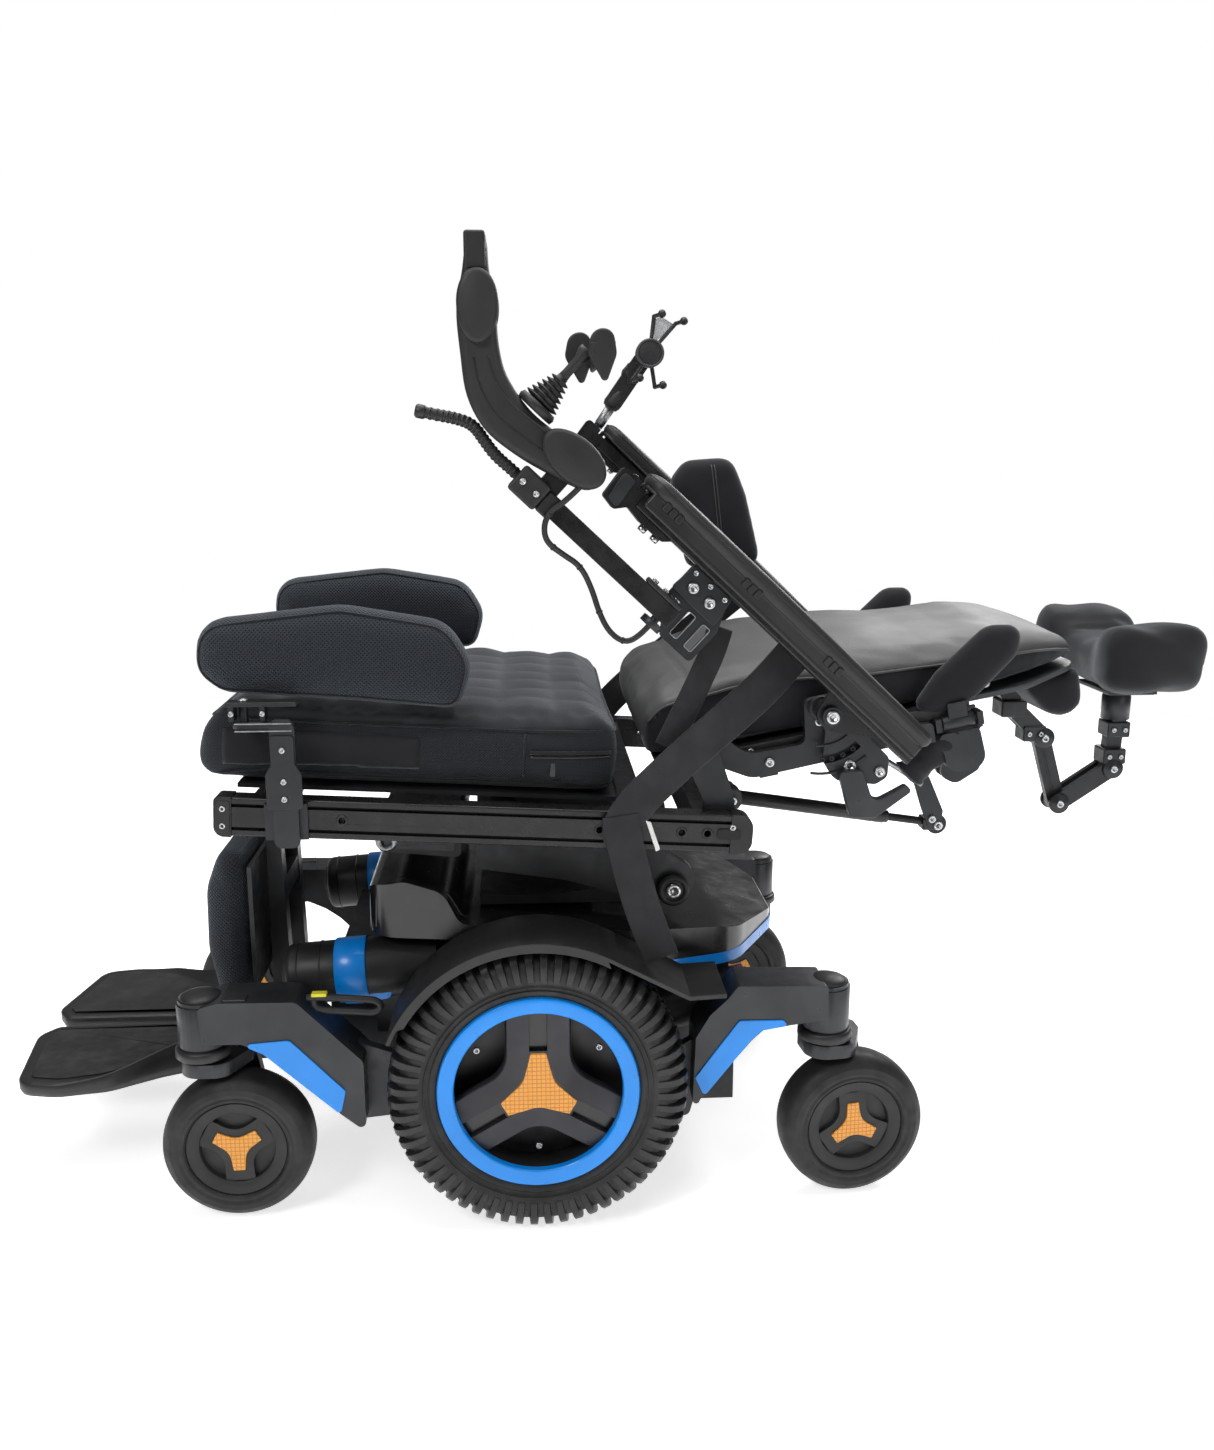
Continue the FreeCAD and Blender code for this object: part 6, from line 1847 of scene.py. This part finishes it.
# ---- back and headrest hardware ----
def back_hardware():
    for name, side in SIDES:
        outer = (0, side, 0)
        spots = [back_at(u, side * 236.2, v) for u, v in
                 ((28, 0), (84, -45), (150, -8), (226, -46))]
        bolts("back_plate_bolts_" + name, spots, outer, 5.6, 3.4, "backrest")
        bolts("back_pivot_bolt_" + name, [back_at(0, side * 254.7, 0)], outer, 8.5, 4, "seat")
        member = [(40, -30, 4), (52, -24, 6), (300, -24, 6), (330, -30, 8), (330, -38, 3),
                  (40, -40, 3)]
        plate("back_member_" + name, member, side * 214, side * 222, xz(back_at), "moulded",
              "backrest", 1.2)
        spots = [back_at(u, side * 222.2, -31) for u in (66, 140, 262)]
        bolts("back_member_bolts_" + name, spots, outer, 3.6, 2.2, "backrest")
        turned("snap_" + name, [(0.01, 4.4), (3.5, 4.2), (6.4, 2.8), (7, 0), (0.01, 0)],
               back_at(366, side * 191, -13), outer, 28, "steel", "backrest")
        recess = [(70, -40, 6), (70, -58, 8), (176, -58, 8), (190, -44, 6), (184, -36, 4)]
        plate("shell_recess_" + name, recess, side * 196, side * 205, xz(back_at), "grey_plastic",
              "backrest", 1.5)
        sleeve = [back_at(u, side * y, v) for u, y, v in
                  ((336, 217, -42), (322, 218, -54), (293, 219, -70), (262, 221, -90),
                   (246, 222, -100))]
        wrapped_sleeve("lateral_sleeve_" + name, sleeve, 19, "backrest")
        swing = "lateral_support_" + name
        pin = back_at(316, side * 226, -44)
        run = back_at(317, side * 226, -44) - pin
        piece("lateral_barrel_" + name, *rod(pin - run * 20, pin + run * 20, 9.0, 28, 1.5),
              "powder", swing)
        block("lateral_plate_" + name, (304, side * 231.8 - 2.2, -39),
              (328, side * 231.8 + 2.2, -20), back_at, "powder", swing, 1.5)
        plate("lock_bracket_" + name, LOCK_BRACKET, side * 158, side * 163, xz(back_at), "powder",
              "backrest", 1.0)
        bolts("lock_bolt_" + name, [back_at(286, side * 163, -181)], outer, 5, 3, "backrest")
        lever = [back_at(u, side * 168, v) for u, v in ((236, -90), (257, -110), (278, -132))]
        bar("lock_lever_" + name, lever, 3.6, "steel", "backrest")


def wrapped_sleeve(name, points, radius, body):
    """Bunched fabric tube with folds that wind round it."""
    line = smooth_line(points, 9)
    verts, faces, count = [], [], 28
    last = len(line) - 1
    for i, point in enumerate(line):
        ahead = (line[min(i + 1, last)] - line[max(i - 1, 0)]).normalized()
        across = ahead.cross(Vector((0, 1, 0))).normalized()
        lift = across.cross(ahead)
        close = min(1.0, 0.45 + 0.3 * min(i, last - i))
        for j in range(count):
            turn = math.tau * j / count
            fold = 1 + 0.07 * math.sin(3 * turn + i * 0.7) + 0.06 * math.sin(i * 1.25 + turn)
            reach = radius * close * fold
            verts.append(point + (across * math.cos(turn) + lift * math.sin(turn) * 0.72)
                         * reach * MM)
    for i in range(last):
        for j in range(count):
            k = (j + 1) % count
            faces.append([i * count + j, i * count + k, (i + 1) * count + k,
                          (i + 1) * count + j])
    faces.append(list(range(count))[::-1])
    faces.append([last * count + j for j in range(count)])
    return piece(name, verts, faces, "fabric", body)


HEAD_JOINTS = (("head_joint_a", (704.0, 526.0), "backrest"),
               ("head_joint_b", (732.0, 432.0), "headrest_lower"),
               ("head_joint_c", (805.0, 481.0), "headrest_upper"))


def toothed_clamp(name, centre, body):
    """Two-piece clamp round a headrest link joint, with a toothed face each side."""
    x, z = centre
    for k, side in enumerate((-1, 1)):
        face = [(0.01, 4), (9, 4), (10, 3), (13.5, 3), (14.4, 2), (14.4, 0), (0.01, 0)]
        turned(f"{name}_face_{k}", face, at(x, side * 14.2, z), (0, side, 0), 36, "powder", body)
        bolts(f"{name}_bolt_{k}", [at(x, side * 18.2, z)], (0, side, 0), 5.2, 3, body)


def headrest_hardware():
    cup = [(13.2, -10), (19, -10), (19, 22), (16, 26), (14, 35), (0.01, 35), (0.01, 14), (13.2, 13)]
    piece("headrest_cup", *spin(cup, at(809, 0, 560), (0, 0, 1), 40, False), "powder", "headrest")
    block("headrest_plate", (774, -50, 591), (838, 50, 597), at, "powder", "headrest", 1.5)
    for name, centre, body in HEAD_JOINTS:
        toothed_clamp(name, centre, body)
    for name, centre, body in (("head_clamp_a", (690, 532), "backrest"),
                               ("head_clamp_d", (809, 536), "headrest_upper"),
                               ("head_clamp_c", (806, 498), "headrest_upper")):
        x, z = centre
        block(name, (x - 16, -17, z - 11), (x + 16, 17, z + 11), at, "powder", body, 2.5)
        bolts(name + "_bolts", [at(x + dx, -17, z) for dx in (-8, 8)], (0, -1, 0), 3.4, 2.4, body)
    block("head_knuckle", (640, -20, 556), (676, 20, 580), at, "powder", "backrest", 3)
    for k, x in enumerate((716.5, 719.5)):
        block(f"head_link_edge_{k}", (x - 0.9, -6.4, 446), (x + 0.9, 6.4, 512),
              lambda p, y, q: at(p + (479 - q) * 0.3 - 1.5, y, q), "powder", "headrest_lower", 0.4)
    tab = [at(800, -120, 628), at(801, -121, 616), at(802, -121, 606)]
    bar("headrest_tab", tab, 1.6, "webbing", "headrest")


def strut_details():
    start, end = at(245, -150, 488), at(511, -150, 448)
    run = (end - start).normalized()
    piece("strut_gland", *rod(start + run * 0.196, start + run * 0.206, 8.0, 28, 1.2),
          "moulded", "recline_barrel_body")
    block("strut_clevis", (492, -161, 441), (514, -139, 457), at, "moulded", "recline_stem_body", 2)
    bolts("strut_bolt", [at(511, -161, 448)], (0, -1, 0), 6, 4, "recline_stem_body")
    bolts("strut_fixed_bolt", [at(245, -172.5, 488)], (0, -1, 0), 6, 4, "seat")


# ---- camera, floor and light ----
CAMERA_SPOT, CAMERA_TURN, CAMERA_LENS = (-9.7, -1683.8, 908.1), (78.0, 0.0, -3.75), 31.57
# name, place, aim, size in metres and watts
LAMPS = (("top", (0.1, 0.2, 3.0), (0, 0, 0.4), (3.0, 2.4), 100),
         ("key", (-1.7, -2.1, 2.6), (0, 0, 0.5), (1.0, 0.8), 34),
         ("rim", (1.8, 2.4, 2.2), (0, 0, 0.5), (1.6, 1.2), 50),
         ("fill", (1.9, -2.4, 1.0), (0, 0, 0.4), (0.9, 0.7), 10))


def look():
    data = bpy.data.cameras.new("camera")
    data.lens = CAMERA_LENS
    data.clip_start, data.clip_end = 0.01, 60
    camera = bpy.data.objects.new("camera", data)
    camera.location = at(*CAMERA_SPOT)
    camera.rotation_euler = [math.radians(turn) for turn in CAMERA_TURN]
    bpy.context.scene.collection.objects.link(camera)
    bpy.context.scene.camera = camera


FLOOR_RADIUS, FLOOR_DROP, FLOOR_GLOW = 3.4, 0.0005, 0.7


def floor():
    ring = [Vector((p, q, -FLOOR_DROP)) for p, q in circle(FLOOR_RADIUS, 64)]
    mesh = bpy.data.meshes.new("floor")
    mesh.from_pydata([tuple(p) for p in ring], [], [list(range(64))])
    ground = Finish("pale_floor", (0.86, 0.86, 0.86), 0.65)
    ground.tint(ground.noise(3.0, 4.0), (0.3, (0.85, 0.85, 0.85)), (0.7, (0.88, 0.88, 0.88)))
    ground.bsdf.inputs["Emission Color"].default_value = (1, 1, 1, 1)
    ground.bsdf.inputs["Emission Strength"].default_value = FLOOR_GLOW
    mesh.materials.append(ground.mat)
    made = bpy.data.objects.new("floor", mesh)
    bpy.context.scene.collection.objects.link(made)


def area_light(name, spot, aim, size, watts):
    data = bpy.data.lights.new(name, "AREA")
    data.shape = "RECTANGLE"
    data.size, data.size_y = size
    data.energy = watts
    lamp = bpy.data.objects.new(name, data)
    lamp.location = spot
    lamp.rotation_mode = "QUATERNION"
    lamp.rotation_quaternion = (Vector(aim) - Vector(spot)).to_track_quat("-Z", "Y")
    bpy.context.scene.collection.objects.link(lamp)


def lights():
    world = bpy.data.worlds.new("studio")
    bpy.context.scene.world = world
    world.use_nodes = True
    sky = world.node_tree.nodes["Background"]
    sky.inputs["Color"].default_value = (0.96, 0.97, 1.0, 1)
    sky.inputs["Strength"].default_value = 0.16
    seen = world.node_tree.nodes.new("ShaderNodeBackground")
    seen.inputs["Color"].default_value = (1, 1, 1, 1)
    rays = world.node_tree.nodes.new("ShaderNodeLightPath")
    blend = world.node_tree.nodes.new("ShaderNodeMixShader")
    links = world.node_tree.links
    links.new(rays.outputs["Is Camera Ray"], blend.inputs[0])
    links.new(sky.outputs[0], blend.inputs[1])
    links.new(seen.outputs[0], blend.inputs[2])
    links.new(blend.outputs[0], world.node_tree.nodes["World Output"].inputs[0])
    for lamp in LAMPS:
        area_light(*lamp)
    bpy.context.scene.view_settings.view_transform = "Standard"


PAINTED = {
    "powder": ("base_frame", "lift_carriage", "seat_frame", "knee_brackets", "legrest_frame",
               "back_frame", "headrest_lower_link", "headrest_upper_link", "joystick_bracket",
               "drive_motors"),
    "anodised": ("seat_rails", "lift_middle_tube", "armrest_track_left", "armrest_track_right",
                 "joystick_arm"),
    "moulded": ("batteries", "nose_booms", "fenders", "seat_drive_unit", "recline_barrel",
                "phone_mount", "phone_grip"),
    "gloss": ("base_shroud",),
    "grey_plastic": ("back_shell",),
    "arm_grey": tuple("suspension_arm_" + c[0] for c in CASTERS)
    + tuple("caster_fork_" + c[0] for c in CASTERS) + ("armrest_link_left", "armrest_link_right"),
    "soft_touch": ("recline_stem",),
}


def finish_nodes():
    for finish, nodes in PAINTED.items():
        for node in nodes:
            paint(node, finish, 0.0 if node == "base_shroud" else 0.0008)


look()
floor()
lights()
finish_nodes()
all_wheels()
knees = knee_pads()
calf_pads()
cushion = seat_cushion()
back = back_cushion()
back_lobes()
head = headrest_pad()
laterals()
arm_pads = armrest_pads()
elbow = elbow_pad()
simulate_pads()
knee_seams(knees)
cushion_details(cushion)
back_details(back)
reshape(head, at, headrest_relief)
armrest_details(arm_pads)
elbow_seams(elbow)
hip_belts()
suspension_trim()
base_trim()
rail_details()
knee_links()
footplates()
joystick_head()
joystick_mount()
joystick_cords()
phone_details()
armrest_hardware()
back_hardware()
headrest_hardware()
strut_details()
